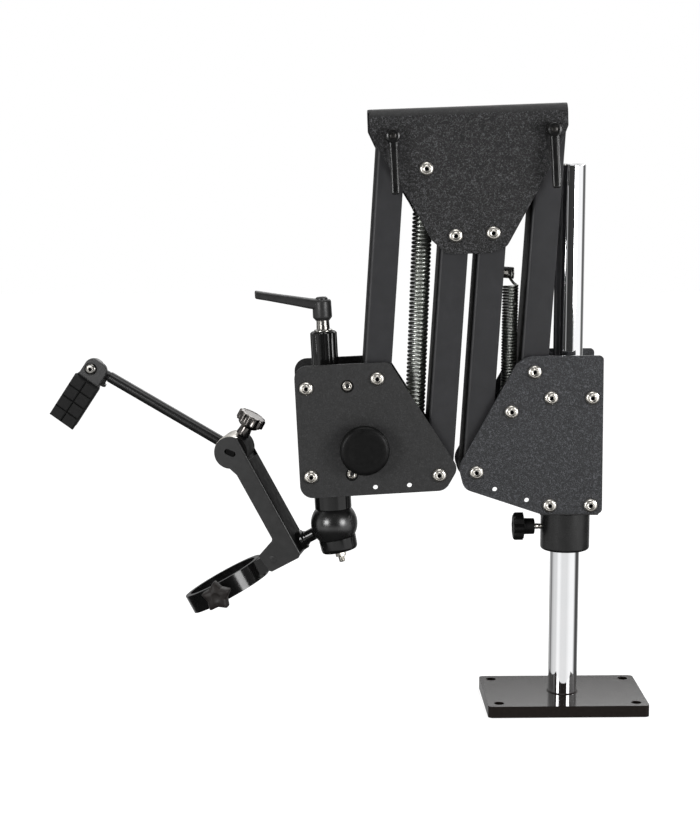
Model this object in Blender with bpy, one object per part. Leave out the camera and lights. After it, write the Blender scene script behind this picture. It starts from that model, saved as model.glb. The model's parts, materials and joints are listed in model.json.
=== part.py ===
"""Spring-balanced microscope arm stand: a post on a base plate carries two
parallel-link arms, a tilting ball joint and a ring holder with a hand grip.

Lengths in the constants are millimetres, the model is in metres, +Z is up.
Origin: on the post axis, at the underside of the base plate.
X runs towards the post side, Y runs away from the front.
"""
import math

import bmesh
import bpy
from mathutils import Matrix, Vector
from mathutils.geometry import tessellate_polygon

MM = 0.001
GAP = 0.3                      # clearance between touching pieces
TAU = 2.0 * math.pi

# ---- base, post and collar ----
BASE_X, BASE_Y, BASE_T = 165.0, 112.0, 12.0
BASE_CORNER_R = 5.0
BASE_HOLE_R, BASE_HOLE_INSET = 3.3, 12.0
POST_R, POST_TOP = 15.0, 558.4
SPIGOT_R, SPIGOT_DEPTH = 8.0, 8.0
COLLAR_R, COLLAR_Z0, COLLAR_Z1 = 25.2, 164.0, 204.7
COLLAR_KNOB_Z = 187.7

# ---- link geometry (X, Z of the pivots) ----
ARM_LEN = 241.3                # pivot to pivot
ARM_LEAN = math.radians(3.45)  # folded rest lean, tops towards the post
ARM_W, ARM_D, ARM_T = 28.0, 55.0, 2.5
ARM_STEP = (ARM_LEN * math.sin(ARM_LEAN), ARM_LEN * math.cos(ARM_LEAN))
R_INNER = (-95.3, 250.3)
R_OUTER = (-37.7, 352.2)
R_INNER_TOP = (R_INNER[0] + ARM_STEP[0], R_INNER[1] + ARM_STEP[1])
R_OUTER_TOP = (R_OUTER[0] + ARM_STEP[0], R_OUTER[1] + ARM_STEP[1])
L_INNER = (-132.7, 247.7)
L_OUTER = (-195.7, 345.9)
L_INNER_TOP = (L_INNER[0] + ARM_STEP[0], L_INNER[1] + ARM_STEP[1])
L_OUTER_TOP = (L_OUTER[0] + ARM_STEP[0], L_OUTER[1] + ARM_STEP[1])

# ---- side plates ----
PLATE_Y, PLATE_T = 34.5, 4.0   # outer face from the mid plane, thickness
BOLT_R, BOLT_HOLE_R = 4.0, 4.3
HEAD_R, HEAD_H = 7.0, 4.4
NUT_R, NUT_H = 7.0, 6.5
BUSH_W, BUSH_H, BUSH_BOLT_X = 60.0, 22.0, 20.7
BUSH_Z = (216.0, 326.0)        # lower and upper post bush
RIGHT_ANCHOR = (-60.5, 312.0)  # lower end of the right spring
RIGHT_HOOK = (-59.3, 448.0)    # upper end of the right spring

# ---- saddle ----
SADDLE_TILT = math.radians(2.1)
SADDLE_O = (-102.0, 489.9)
SADDLE_T = 3.0
LEFT_ANCHOR = (-147.5, 554.4)  # upper end of the left spring
LEFT_HOOK = (-157.4, 262.0)    # lower end of the left spring
LEVER_LEN = 57.0

# ---- tool head, spindle and ball ----
HEAD_TILT = math.radians(3.1)
CARRIER_YAW = math.radians(10.7)
BALL = (-238.4, 0.0, 191.9)
BALL_R = 24.0
SPINDLE_R, SLEEVE_R = 7.0, 13.6
HEAD_BUSH_Z = (55.6, 145.5)
HAND_KNOB = (34.4, 81.8)
CAP_TILT = math.radians(9.0)

# ---- carrier bracket, ring and grip ----
ARM_TILT = math.radians(26.0)  # bracket arm from the spindle direction
WEB_U, BRACKET_W, BRACKET_D = -42.4, 17.6, 44.0
BOSS_U, BOSS_W, BOSS_R = -55.0, 115.5, 16.5
RING_U, RING_W, RING_R, RING_BORE_R, RING_H = -132.7, -4.9, 44.0, 38.0, 19.6
RING_KNOB_U = -129.0
ROD_ANGLE = math.radians(32.0)  # rod above the carrier's horizontal
ROD_R, ROD_END = 5.7, 158.0
PADDLE_S = 169.4               # paddle screw from the hinge, along the rod
PADDLE_TILT = math.radians(5.0)

BALL_V = Vector(BALL)


# ------------------------------------------------------------------ frames
def axes(origin, x, y, z):
    """Matrix whose columns are the given axes, placed at origin (mm)."""
    m = Matrix((x, y, z)).transposed().to_4x4()
    m.translation = Vector(origin)
    return m


def turn_y(angle):
    """Rotation about +Y that lifts +X towards +Z for a positive angle."""
    return Matrix.Rotation(-angle, 4, 'Y')


def link_frame(pivot):
    return Matrix.Translation((pivot[0], 0, pivot[1])) @ turn_y(-ARM_LEAN)


WORLD = Matrix.Identity(4)
HEAD = Matrix.Translation(BALL_V) @ turn_y(HEAD_TILT)
SADDLE = Matrix.Translation((SADDLE_O[0], 0, SADDLE_O[1])) @ turn_y(SADDLE_TILT)
CARRIER = HEAD @ Matrix.Rotation(-CARRIER_YAW, 4, 'Z')
BRACKET = CARRIER @ turn_y(ARM_TILT)
CAP = CARRIER @ turn_y(CAP_TILT)
HINGE_POINT = BRACKET @ Vector((BOSS_U, 0, BOSS_W))
ROD_DIR = CARRIER.to_3x3() @ Vector((-math.cos(ROD_ANGLE), 0, math.sin(ROD_ANGLE)))
SIDE_DIR = CARRIER.to_3x3() @ Vector((0, 1, 0))
ROD = axes(HINGE_POINT, ROD_DIR, -SIDE_DIR, ROD_DIR.cross(-SIDE_DIR))
PADDLE = Matrix.Translation(HINGE_POINT + ROD_DIR * PADDLE_S) @ \
    CARRIER.to_3x3().to_4x4() @ turn_y(-ROD_ANGLE - PADDLE_TILT)


def along(frame, axis, at=(0, 0, 0)):
    """Frame whose +Z is the named signed axis of the given frame."""
    turn = {
        '+Z': Matrix.Identity(4),
        '-Z': Matrix.Rotation(math.pi, 4, 'X'),
        '+Y': Matrix.Rotation(-math.pi / 2, 4, 'X'),
        '-Y': Matrix.Rotation(math.pi / 2, 4, 'X'),
        '+X': Matrix.Rotation(math.pi / 2, 4, 'Y'),
        '-X': Matrix.Rotation(-math.pi / 2, 4, 'Y'),
    }[axis]
    return frame @ Matrix.Translation(at) @ turn


# --------------------------------------------------------------- materials
def finish(name, colour, roughness, metallic):
    mat = bpy.data.materials.new(name)
    mat.use_nodes = True
    node = mat.node_tree.nodes['Principled BSDF']
    node.inputs['Base Color'].default_value = (*colour, 1.0)
    node.inputs['Roughness'].default_value = roughness
    node.inputs['Metallic'].default_value = metallic
    mat.diffuse_color = (*colour, 1.0)
    return mat


def powder_coat(name):
    return finish(name, (0.060, 0.060, 0.064), 0.55, 0.0)


def satin_black(name):
    return finish(name, (0.030, 0.030, 0.032), 0.40, 0.0)


def gloss_black(name):
    return finish(name, (0.012, 0.012, 0.013), 0.12, 0.0)


def black_plastic(name):
    return finish(name, (0.018, 0.017, 0.017), 0.45, 0.0)


def bright_steel(name):
    return finish(name, (0.72, 0.71, 0.68), 0.22, 1.0)


def spring_steel(name):
    return finish(name, (0.50, 0.49, 0.46), 0.32, 1.0)


def chrome(name):
    return finish(name, (0.88, 0.88, 0.89), 0.05, 1.0)


def black_rubber(name):
    return finish(name, (0.022, 0.021, 0.020), 0.75, 0.0)


# ------------------------------------------------------------ mesh helpers
def piece(name, bm, frame, material, origin=None, smooth=True):
    """Closed mesh in frame coordinates (mm) becomes a named object in metres,
    its origin at a world point on its joint axis (mm)."""
    origin = Vector(origin) if origin is not None else frame.translation.copy()
    bmesh.ops.transform(bm, matrix=frame, verts=bm.verts)
    bmesh.ops.translate(bm, vec=-origin, verts=bm.verts)
    bmesh.ops.scale(bm, vec=(MM, MM, MM), verts=bm.verts)
    bmesh.ops.recalc_face_normals(bm, faces=bm.faces)
    mesh = bpy.data.meshes.new(name)
    bm.to_mesh(mesh)
    bm.free()
    obj = bpy.data.objects.new(name, mesh)
    bpy.context.scene.collection.objects.link(obj)
    obj.location = origin * MM
    mesh.materials.append(material(name))
    if smooth:
        mesh.shade_smooth()
        mesh.set_sharp_from_angle(angle=math.radians(32))
    return obj


def spun(rows, n=24, closed=False):
    """Body made of rings along +Z. A row is (height, radius or radius(angle)).
    An open body is capped at both ends, a closed one joins its last ring to
    its first, which leaves a bore."""
    bm = bmesh.new()
    rings = []
    for height, radius in rows:
        ring = []
        for i in range(n):
            a = TAU * i / n
            r = radius(a) if callable(radius) else radius
            ring.append(bm.verts.new((r * math.cos(a), r * math.sin(a), height)))
        rings.append(ring)
    pairs = list(zip(rings, rings[1:]))
    if closed:
        pairs.append((rings[-1], rings[0]))
    else:
        bm.faces.new(rings[0])
        bm.faces.new(rings[-1])
    for low, high in pairs:
        for i in range(n):
            j = (i + 1) % n
            bm.faces.new((low[i], low[j], high[j], high[i]))
    return bm


def slab(outline, y0, y1, holes=()):
    """Flat plate: outline in X, Z extruded along Y, with through holes."""
    loops = [outline] + list(holes)
    flat = [p for loop in loops for p in loop]
    tris = tessellate_polygon([[Vector((x, z, 0)) for x, z in loop] for loop in loops])
    bm = bmesh.new()
    front = [bm.verts.new((x, y0, z)) for x, z in flat]
    back = [bm.verts.new((x, y1, z)) for x, z in flat]
    for a, b, c in tris:
        bm.faces.new((front[a], front[b], front[c]))
        bm.faces.new((back[a], back[c], back[b]))
    start = 0
    for loop in loops:
        count = len(loop)
        for i in range(count):
            a, b = start + i, start + (i + 1) % count
            bm.faces.new((front[a], front[b], back[b], back[a]))
        start += count
    return bm


def loft(sections):
    """Body through polygons of equal corner count, capped at both ends."""
    bm = bmesh.new()
    loops = [[bm.verts.new(p) for p in section] for section in sections]
    n = len(loops[0])
    bm.faces.new(loops[0])
    bm.faces.new(loops[-1])
    for low, high in zip(loops, loops[1:]):
        for i in range(n):
            j = (i + 1) % n
            bm.faces.new((low[i], low[j], high[j], high[i]))
    return bm


def circle(x, z, r, n=12):
    return [(x + r * math.cos(TAU * i / n), z + r * math.sin(TAU * i / n))
            for i in range(n)]


def rounded(corners, steps=3):
    """Polygon corners (x, z, radius) to points with arcs at the corners."""
    out = []
    count = len(corners)
    for i, (x, z, r) in enumerate(corners):
        p = Vector((x, z))
        a = Vector(corners[i - 1][:2]) - p
        b = Vector(corners[(i + 1) % count][:2]) - p
        if r <= 0:
            out.append((x, z))
            continue
        half = a.angle(b) / 2
        reach = r / math.tan(half)
        centre = p + (a.normalized() + b.normalized()).normalized() * (r / math.sin(half))
        start = p + a.normalized() * reach - centre
        end = p + b.normalized() * reach - centre
        sweep = start.angle_signed(end)
        for k in range(steps + 1):
            t = sweep * k / steps
            c, s = math.cos(-t), math.sin(-t)
            out.append((centre.x + start.x * c - start.y * s,
                        centre.y + start.x * s + start.y * c))
    return out


def stadium(length, r, steps=6):
    """Outline of a bar with full round ends about (0, 0) and (0, length)."""
    pts = [(r * math.cos(math.pi + math.pi * i / steps),
            r * math.sin(math.pi + math.pi * i / steps)) for i in range(steps + 1)]
    pts += [(r * math.cos(math.pi * i / steps),
             length + r * math.sin(math.pi * i / steps)) for i in range(steps + 1)]
    return pts


def box(x0, x1, y0, y1, z0, z1):
    return slab([(x0, z0), (x1, z0), (x1, z1), (x0, z1)], y0, y1)


def carve(bm, tool, operation):
    """Exact boolean of two closed bodies held in the same coordinates."""
    objects = []
    for source in (bm, tool):
        bmesh.ops.recalc_face_normals(source, faces=source.faces)
        mesh = bpy.data.meshes.new('carve')
        source.to_mesh(mesh)
        source.free()
        obj = bpy.data.objects.new('carve', mesh)
        bpy.context.scene.collection.objects.link(obj)
        objects.append(obj)
    body, cutter = objects
    mod = body.modifiers.new('carve', 'BOOLEAN')
    mod.operation = operation
    mod.solver = 'EXACT'
    mod.object = cutter
    graph = bpy.context.evaluated_depsgraph_get()
    result = bpy.data.meshes.new_from_object(body.evaluated_get(graph))
    out = bmesh.new()
    out.from_mesh(result)
    bmesh.ops.remove_doubles(out, verts=out.verts, dist=0.0001)
    bmesh.ops.dissolve_limit(out, angle_limit=0.0005, verts=out.verts, edges=out.edges)
    bmesh.ops.triangulate(out, faces=out.faces)
    bpy.data.meshes.remove(result)
    for obj in objects:
        mesh = obj.data
        bpy.data.objects.remove(obj)
        bpy.data.meshes.remove(mesh)
    return out


def pin(radius, z0, z1, frame, n=24):
    """Plain cylinder along +Z of the frame, as a tool for carve."""
    bm = spun([(z0, radius), (z1, radius)], n)
    bmesh.ops.transform(bm, matrix=frame, verts=bm.verts)
    return bm


def hexagon(across):
    """Radius function of a hexagon with the given width across flats."""
    def radius(a):
        t = (a + math.pi / 6) % (math.pi / 3) - math.pi / 6
        return across / 2 / math.cos(t)
    return radius


def lobes(mean, swing, count):
    def radius(a):
        return mean + swing * math.cos(count * a)
    return radius


# ------------------------------------------------------------ base and post
def base_plate():
    hx, hy, r = BASE_X / 2, BASE_Y / 2, BASE_CORNER_R
    outline = rounded([(-hx, -hy, r), (hx, -hy, r), (hx, hy, r), (-hx, hy, r)])
    ix, iy = hx - BASE_HOLE_INSET, hy - BASE_HOLE_INSET
    holes = [circle(sx * ix, sy * iy, BASE_HOLE_R) for sx in (-1, 1) for sy in (-1, 1)]
    bm = slab(outline, 0, BASE_T, holes)
    flip = Matrix.Rotation(math.pi / 2, 4, 'X') @ Matrix.Scale(-1, 4, (0, 1, 0))
    bmesh.ops.transform(bm, matrix=flip, verts=bm.verts)
    bmesh.ops.translate(bm, verts=bm.verts,
                        vec=(0, 0, -min(v.co.z for v in bm.verts)))
    socket = pin(SPIGOT_R + GAP, BASE_T - SPIGOT_DEPTH - 0.7, BASE_T + 1, WORLD, 32)
    bm = carve(bm, socket, 'DIFFERENCE')
    piece('base_plate', bm, WORLD, gloss_black)


def post():
    z0 = BASE_T + GAP
    rows = [(BASE_T - SPIGOT_DEPTH, SPIGOT_R), (z0, SPIGOT_R), (z0, POST_R),
            (POST_TOP - 1.0, POST_R), (POST_TOP, POST_R - 1.0)]
    piece('post', spun(rows, 40), WORLD, chrome)


def stop_collar():
    z0, z1, r, b = COLLAR_Z0, COLLAR_Z1, COLLAR_R, POST_R + 0.15
    rows = [(z0, b), (z0, r - 3.0), (z0 + 3.0, r), (z1 - 1.0, r), (z1, r - 1.0), (z1, b)]
    bm = spun(rows, 40, closed=True)
    hole = pin(3.3, -40, -b + 2.0, along(WORLD, '+X', (0, 0, COLLAR_KNOB_Z)), 16)
    bm = carve(bm, hole, 'DIFFERENCE')
    piece('stop_collar', bm, WORLD, satin_black)


def collar_knob():
    grip = lobes(13.4, 1.1, 8)
    rows = [(-18.0, 3.0), (-32.0, 3.0), (-32.0, 8.0), (-43.1, 8.0), (-43.1, grip),
            (-52.6, grip), (-54.1, lobes(11.8, 0.8, 8))]
    frame = along(WORLD, '+X', (0, 0, COLLAR_KNOB_Z))
    piece('collar_knob', spun(rows, 32), frame, black_plastic)


# --------------------------------------------------------------- fasteners
def cross_bolt(name, frame, x, z, front, rear, head=(HEAD_R, HEAD_H), nut=True):
    """Button-head bolt along Y through the point (x, z) of a frame, its head
    seated on the front face, its nut on the rear face."""
    r, h = head
    socket = hexagon(5.0)
    rows = [(front + h - 2.4, socket), (front + h, socket),
            (front + h - 0.4, r * 0.62), (front + h * 0.45, r * 0.93),
            (front + GAP, r), (front + GAP, BOLT_R)]
    if nut:
        rows += [(-rear - GAP, BOLT_R), (-rear - GAP, hexagon(2 * NUT_R * 0.9)),
                 (-rear - NUT_H, hexagon(2 * NUT_R * 0.9))]
    else:
        rows += [(-rear, BOLT_R)]
    piece(name, spun(rows, 12), along(frame, '-Y', (x, 0, z)), bright_steel)


def side_bush(name, frame, z, bore_r, material):
    """Block between the side plates that guides a round shaft along Z."""
    half = PLATE_Y - PLATE_T - GAP
    outline = rounded([(-BUSH_W / 2, z - BUSH_H / 2, 1.5), (BUSH_W / 2, z - BUSH_H / 2, 1.5),
                       (BUSH_W / 2, z + BUSH_H / 2, 1.5), (-BUSH_W / 2, z + BUSH_H / 2, 1.5)], 2)
    bm = slab(outline, -half, half, [circle(-BUSH_BOLT_X, z, BOLT_HOLE_R),
                                     circle(BUSH_BOLT_X, z, BOLT_HOLE_R)])
    bm = carve(bm, pin(bore_r, z - BUSH_H, z + BUSH_H, WORLD, 40), 'DIFFERENCE')
    piece(name, bm, frame, material)


# --------------------------------------------------------------- right head
RIGHT_OUTLINE = [(-56.1, 360.5, 3), (-112.8, 256.5, 16), (-104.5, 234.5, 10),
                 (-31.5, 207.6, 3), (32.8, 207.4, 5), (31.6, 368.5, 4), (-44.5, 368.5, 22)]


def right_plate(name, y0):
    holes = [circle(*R_OUTER, BOLT_HOLE_R), circle(*R_INNER, BOLT_HOLE_R),
             circle(*RIGHT_ANCHOR, BOLT_HOLE_R),
             circle(-76.4, 232.8, 2.0, 12), circle(-43.9, 221.5, 2.0, 12)]
    holes += [circle(sx * BUSH_BOLT_X, z, BOLT_HOLE_R) for sx in (-1, 1) for z in BUSH_Z]
    bm = slab(rounded(RIGHT_OUTLINE), y0, y0 + PLATE_T, holes)
    piece(name, bm, WORLD, powder_coat, origin=(0, 0, BUSH_Z[0]))


def right_head():
    right_plate('right_front_plate', -PLATE_Y)
    right_plate('right_rear_plate', PLATE_Y - PLATE_T)
    for name, z in zip(('lower_post_bush', 'upper_post_bush'), BUSH_Z):
        side_bush(name, WORLD, z, POST_R + 0.15, satin_black)
    for level, z in zip(('lower', 'upper'), BUSH_Z):
        for side, sx in (('left', -1), ('right', 1)):
            cross_bolt(f'{level}_post_bush_bolt_{side}', WORLD, sx * BUSH_BOLT_X, z,
                       PLATE_Y, PLATE_Y)
    cross_bolt('right_outer_pivot_bolt', WORLD, *R_OUTER, PLATE_Y, PLATE_Y)
    cross_bolt('right_inner_pivot_bolt', WORLD, *R_INNER, PLATE_Y, PLATE_Y)
    cross_bolt('right_spring_anchor', WORLD, *RIGHT_ANCHOR, PLATE_Y, PLATE_Y)


# --------------------------------------------------------------------- arms
def channel(name, pivot, origin, web_hole_z=None):
    """Folded channel, web on the side away from the post, open towards it."""
    hw, hd, t, r = ARM_W / 2, ARM_D / 2, ARM_T, 4.0
    section = rounded([(-hw, -hd, r), (hw, -hd, 0), (hw, -hd + t, 0),
                       (-hw + t, -hd + t, r - t), (-hw + t, hd - t, r - t),
                       (hw, hd - t, 0), (hw, hd, 0), (-hw, hd, r)], 2)
    bm = loft([[(x, y, z) for x, y in section] for z in (-hw - 1, ARM_LEN + hw + 1)])
    bm = carve(bm, slab(stadium(ARM_LEN, hw), -hd - 5, hd + 5), 'INTERSECT')
    for z in (0, ARM_LEN):
        bm = carve(bm, pin(BOLT_HOLE_R, -hd - 5, hd + 5,
                           along(WORLD, '+Y', (0, 0, z)), 12), 'DIFFERENCE')
    if web_hole_z is not None:
        bm = carve(bm, pin(3.3, -hw - 5, -hw + t + 3,
                           along(WORLD, '+X', (0, 0, web_hole_z)), 16), 'DIFFERENCE')
    piece(name, bm, link_frame(pivot), satin_black, origin=origin)


def in_link(pivot, point):
    """Local X, Z of a world point on a link."""
    v = link_frame(pivot).inverted() @ Vector((point[0], 0, point[1]))
    return v.x, v.z


def spool(x_head, x_end, x_groove):
    """Stud with a flat head at one end and a grooved eye at the other."""
    s = 1 if x_end > x_head else -1
    rows = [(x_head, 5.5), (x_head + s * 3.0, 5.5), (x_head + s * 3.0, 3.0),
            (x_groove - s * 3.2, 3.0), (x_groove - s * 3.2, 4.6), (x_groove - s * 1.4, 4.6),
            (x_groove, 2.4), (x_groove + s * 1.4, 4.6), (x_end, 4.6)]
    return spun(rows, 18)


def right_arms():
    hook_x, hook_z = in_link(R_INNER, RIGHT_HOOK)
    outer = (R_OUTER[0], 0, R_OUTER[1])
    inner = (R_INNER[0], 0, R_INNER[1])
    channel('right_outer_arm', R_OUTER, outer)
    channel('right_inner_arm', R_INNER, inner, hook_z)
    frame = along(link_frame(R_INNER), '+X', (0, 0, hook_z))
    bm = spool(-ARM_W / 2 - GAP - 3.0, hook_x + 3.0, hook_x)
    piece('right_spring_hook', bm, frame, bright_steel)


def left_arms():
    hook_x, hook_z = in_link(L_INNER, LEFT_HOOK)
    channel('left_outer_arm', L_OUTER, (L_OUTER_TOP[0], 0, L_OUTER_TOP[1]))
    channel('left_inner_arm', L_INNER, (L_INNER_TOP[0], 0, L_INNER_TOP[1]), hook_z)
    frame = along(link_frame(L_INNER), '+X', (0, 0, hook_z))
    bm = spool(-ARM_W / 2 + ARM_T + GAP + 3.0, hook_x - 3.0, hook_x)
    piece('left_spring_hook', bm, frame, bright_steel)


def spring_body(name, low, high, coil_r, wire, margin):
    """Outer envelope of an extension spring: a plain tube between its ends."""
    a, b = Vector((low[0], 0, low[1])), Vector((high[0], 0, high[1]))
    z = (b - a).normalized()
    frame = axes(a, Vector((0, 1, 0)).cross(z), Vector((0, 1, 0)), z)
    end = (b - a).length - margin
    rows = [(margin, coil_r - wire), (margin, coil_r), (end, coil_r), (end, coil_r - wire)]
    piece(name, spun(rows, 24, closed=True), frame, spring_steel)


# ------------------------------------------------------------------- saddle
SADDLE_OUTLINE = [(-97.6, 140, 0), (-97.6, 103.5, 3), (-91.3, 89.0, 6), (-58.5, 31.5, 0),
                  (-40.0, -4.5, 14), (-25.0, -18.8, 14), (18.0, -19.2, 14), (34.5, -13.6, 12),
                  (79.8, 63.6, 0), (91.8, 88.5, 6), (98.1, 103.5, 3), (98.1, 140, 0)]


def in_saddle(point):
    v = SADDLE.inverted() @ Vector((point[0], 0, point[1]))
    return v.x, v.z


def saddle_plate():
    """Folded sheet: a roof with a front and a rear cheek."""
    y, t, r, top = PLATE_Y, SADDLE_T, 4.5, 125.8
    section = rounded([(-y, -30, 0), (-y + t, -30, 0), (-y + t, top - t, r - t),
                       (y - t, top - t, r - t), (y - t, -30, 0), (y, -30, 0),
                       (y, top, r), (-y, top, r)], 3)
    bm = loft([[(x, y_, z) for y_, z in section] for x in (-110, 110)])
    bm = carve(bm, slab(rounded(SADDLE_OUTLINE), -50, 50), 'INTERSECT')
    for point in (R_INNER_TOP, L_INNER_TOP, R_OUTER_TOP, L_OUTER_TOP, LEFT_ANCHOR):
        x, z = in_saddle(point)
        hole = pin(BOLT_HOLE_R, -50, 50, along(WORLD, '+Y', (x, 0, z)), 12)
        bm = carve(bm, hole, 'DIFFERENCE')
    piece('saddle', bm, SADDLE, powder_coat, origin=(R_OUTER_TOP[0], 0, R_OUTER_TOP[1]))


def clamp_stud(name, point):
    """Threaded pivot bar: its front end enters the lever hub."""
    x, z = in_saddle(point)
    nut = hexagon(2 * NUT_R * 0.9)
    rows = [(PLATE_Y + 9.0, BOLT_R), (-PLATE_Y - GAP, BOLT_R), (-PLATE_Y - GAP, nut),
            (-PLATE_Y - NUT_H, nut)]
    piece(name, spun(rows, 12), along(SADDLE, '-Y', (x, 0, z)), bright_steel)


def clamp_lever(name, point):
    """Lever hanging from its hub, swept slightly outwards."""
    x, z = in_saddle(point)
    y0 = PLATE_Y + GAP
    hub = spun([(y0, 6.9), (y0 + 14.0, 6.9), (y0 + 15.5, 5.4)], 24)
    bmesh.ops.transform(hub, matrix=along(WORLD, '-Y'), verts=hub.verts)
    sections = []
    for s, w, t, y in ((2.0, 7.6, 7.0, 10.5), (18.0, 7.5, 6.6, 12.0), (40.0, 7.0, 6.2, 15.0),
                       (LEVER_LEN - 2.0, 6.6, 6.0, 17.0), (LEVER_LEN, 5.0, 4.4, 17.2)):
        sections.append([(dx * w / 2, -(y0 + y) + dy * t / 2, -s) for dx, dy in
                         ((-1, -0.5), (-0.5, -1), (0.5, -1), (1, -0.5),
                          (1, 0.5), (0.5, 1), (-0.5, 1), (-1, 0.5))])
    bm = carve(hub, loft(sections), 'UNION')
    bm = carve(bm, pin(BOLT_R + GAP, y0 - 2, y0 + 9.5, along(WORLD, '-Y'), 18), 'DIFFERENCE')
    hang = SADDLE @ Matrix.Translation((x, 0, z)) @ turn_y(math.radians(0.6))
    piece(name, bm, hang, black_plastic)


def saddle():
    saddle_plate()
    for name, point in (('saddle_right_pivot_bolt', R_INNER_TOP),
                        ('saddle_left_pivot_bolt', L_INNER_TOP),
                        ('left_spring_anchor', LEFT_ANCHOR)):
        cross_bolt(name, SADDLE, *in_saddle(point), PLATE_Y, PLATE_Y)
    for side, point in (('left', L_OUTER_TOP), ('right', R_OUTER_TOP)):
        clamp_stud(f'{side}_clamp_stud', point)
        clamp_lever(f'{side}_clamp_lever', point)


# ---------------------------------------------------------------- tool head
LEFT_OUTLINE = [(-31.9, 168.3, 13), (-32.4, 33.8, 13), (112.0, 33.8, 16), (127.8, 57.0, 14),
                (66.0, 164.0, 6), (61.0, 167.6, 3)]


def in_head(point):
    v = HEAD.inverted() @ Vector((point[0], 0, point[1]))
    return v.x, v.z


def left_plate(name, y0, front):
    wide = 7.6 if front else BOLT_HOLE_R
    holes = [circle(*in_head(L_OUTER), BOLT_HOLE_R), circle(*in_head(L_INNER), BOLT_HOLE_R),
             circle(43.6, 41.2, 2.0, 12), circle(78.0, 41.3, 2.0, 12)]
    for z in HEAD_BUSH_Z:
        holes += [circle(-BUSH_BOLT_X, z, BOLT_HOLE_R), circle(BUSH_BOLT_X, z, wide)]
    if front:
        holes.append(circle(*HAND_KNOB, 5.3))
    bm = slab(rounded(LEFT_OUTLINE), y0, y0 + PLATE_T, holes)
    piece(name, bm, HEAD, powder_coat, origin=(L_OUTER[0], 0, L_OUTER[1]))


def hand_knob():
    """Mushroom knob on a short stud through the front plate."""
    y = PLATE_Y
    rows = [(y - 9.0, 5.0), (y + 3.0, 5.0), (y + 3.0, 11.0), (y + 8.0, 12.0), (y + 9.5, 23.5),
            (y + 12.0, 25.0), (y + 17.0, 25.0), (y + 20.0, 22.5), (y + 21.0, 17.0)]
    frame = along(HEAD, '-Y', (HAND_KNOB[0], 0, HAND_KNOB[1]))
    piece('hand_knob', spun(rows, 32), frame, gloss_black)


def spindle_sleeve():
    ridged = lobes(SLEEVE_R - 0.35, 0.35, 10)
    rows = [(45.5, SPINDLE_R + 0.35), (45.5, SLEEVE_R - 0.8), (46.3, ridged), (197.9, ridged),
            (198.7, SLEEVE_R - 1.2), (198.7, SPINDLE_R + 0.35)]
    piece('spindle_sleeve', spun(rows, 40, closed=True), HEAD, gloss_black)


def left_head():
    left_plate('left_front_plate', -PLATE_Y, True)
    left_plate('left_rear_plate', PLATE_Y - PLATE_T, False)
    for level, z in zip(('lower', 'upper'), HEAD_BUSH_Z):
        side_bush(f'{level}_spindle_bush', HEAD, z, SLEEVE_R + 0.2, satin_black)
        cross_bolt(f'{level}_spindle_bush_bolt_left', HEAD, -BUSH_BOLT_X, z, PLATE_Y, PLATE_Y)
        cross_bolt(f'{level}_spindle_bush_bolt_right', HEAD, BUSH_BOLT_X, z,
                   PLATE_Y - PLATE_T - GAP, PLATE_Y)
    cross_bolt('left_outer_pivot_bolt', HEAD, *in_head(L_OUTER), PLATE_Y, PLATE_Y)
    cross_bolt('left_inner_pivot_bolt', HEAD, *in_head(L_INNER), PLATE_Y, PLATE_Y)
    spindle_sleeve()
    hand_knob()


# -------------------------------------------------------- spindle and ball
def seat(r, clear=GAP):
    """Height above the ball centre of a cup surface at radius r."""
    return math.sqrt((BALL_R + clear) ** 2 - r * r)


def spindle():
    neck = 18.8
    rows = [(225.0, 3.6), (209.6, 3.6), (209.6, 6.1), (199.8, 7.2), (199.8, 9.4), (199.0, 9.4),
            (199.0, SPINDLE_R), (44.2, SPINDLE_R), (44.2, neck - 1.0), (43.2, neck),
            (seat(neck) + 1.0, neck), (seat(neck - 1.2), neck - 1.2), (seat(14.0), 14.0),
            (seat(9.0), 9.0), (BALL_R + 0.6, 9.0)]
    piece('spindle', spun(rows, 28), HEAD, gloss_black)


def spindle_lever():
    """Clamping lever: a hub on the spindle thread with a swept arm."""
    hub = spun([(210.0, 7.2), (212.5, 9.6), (229.0, 9.6), (231.5, 8.2), (231.5, 6.4),
                (233.6, 5.8)], 28)
    sections = []
    for x, z0, z1, w in ((-4.0, 221.4, 230.5, 15.0), (-14.0, 223.6, 231.6, 13.0),
                         (-35.0, 229.0, 236.0, 11.0), (-54.0, 234.6, 241.8, 12.0),
                         (-65.0, 237.6, 245.2, 12.5), (-66.7, 239.2, 244.2, 10.0)):
        zc, h = (z0 + z1) / 2, (z1 - z0) / 2
        sections.append([(x, dy * w / 2, zc + dz * h) for dy, dz in
                         ((-1, -0.5), (-0.6, -1), (0.6, -1), (1, -0.5),
                          (1, 0.5), (0.6, 1), (-0.6, 1), (-1, 0.5))])
    bm = carve(hub, loft(sections), 'UNION')
    bm = carve(bm, pin(3.9, 205, 225.5, WORLD, 16), 'DIFFERENCE')
    piece('spindle_lever', bm, HEAD, black_plastic, origin=HEAD @ Vector((0, 0, 210)))


def ball():
    steps = 14
    rows = [(BALL_R * math.cos(math.pi * i / steps), BALL_R * math.sin(math.pi * i / steps))
            for i in range(1, steps)]
    piece('ball', spun(rows, 28), CARRIER, gloss_black)


def ball_cap():
    """Cup under the ball, drawn up by the centre stud."""
    rows = [(-seat(18.2), 18.2), (-seat(19.2) - 0.6, 19.2), (-26.0, 18.6), (-29.0, 16.6),
            (-29.0, 6.0), (-26.8, 6.0), (-seat(4.0) - 1.2, 4.0), (-seat(4.0), 4.0),
            (-seat(10.0), 10.0), (-seat(15.0), 15.0)]
    piece('ball_cap', spun(rows, 28, closed=True), CAP, gloss_black)


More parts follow.
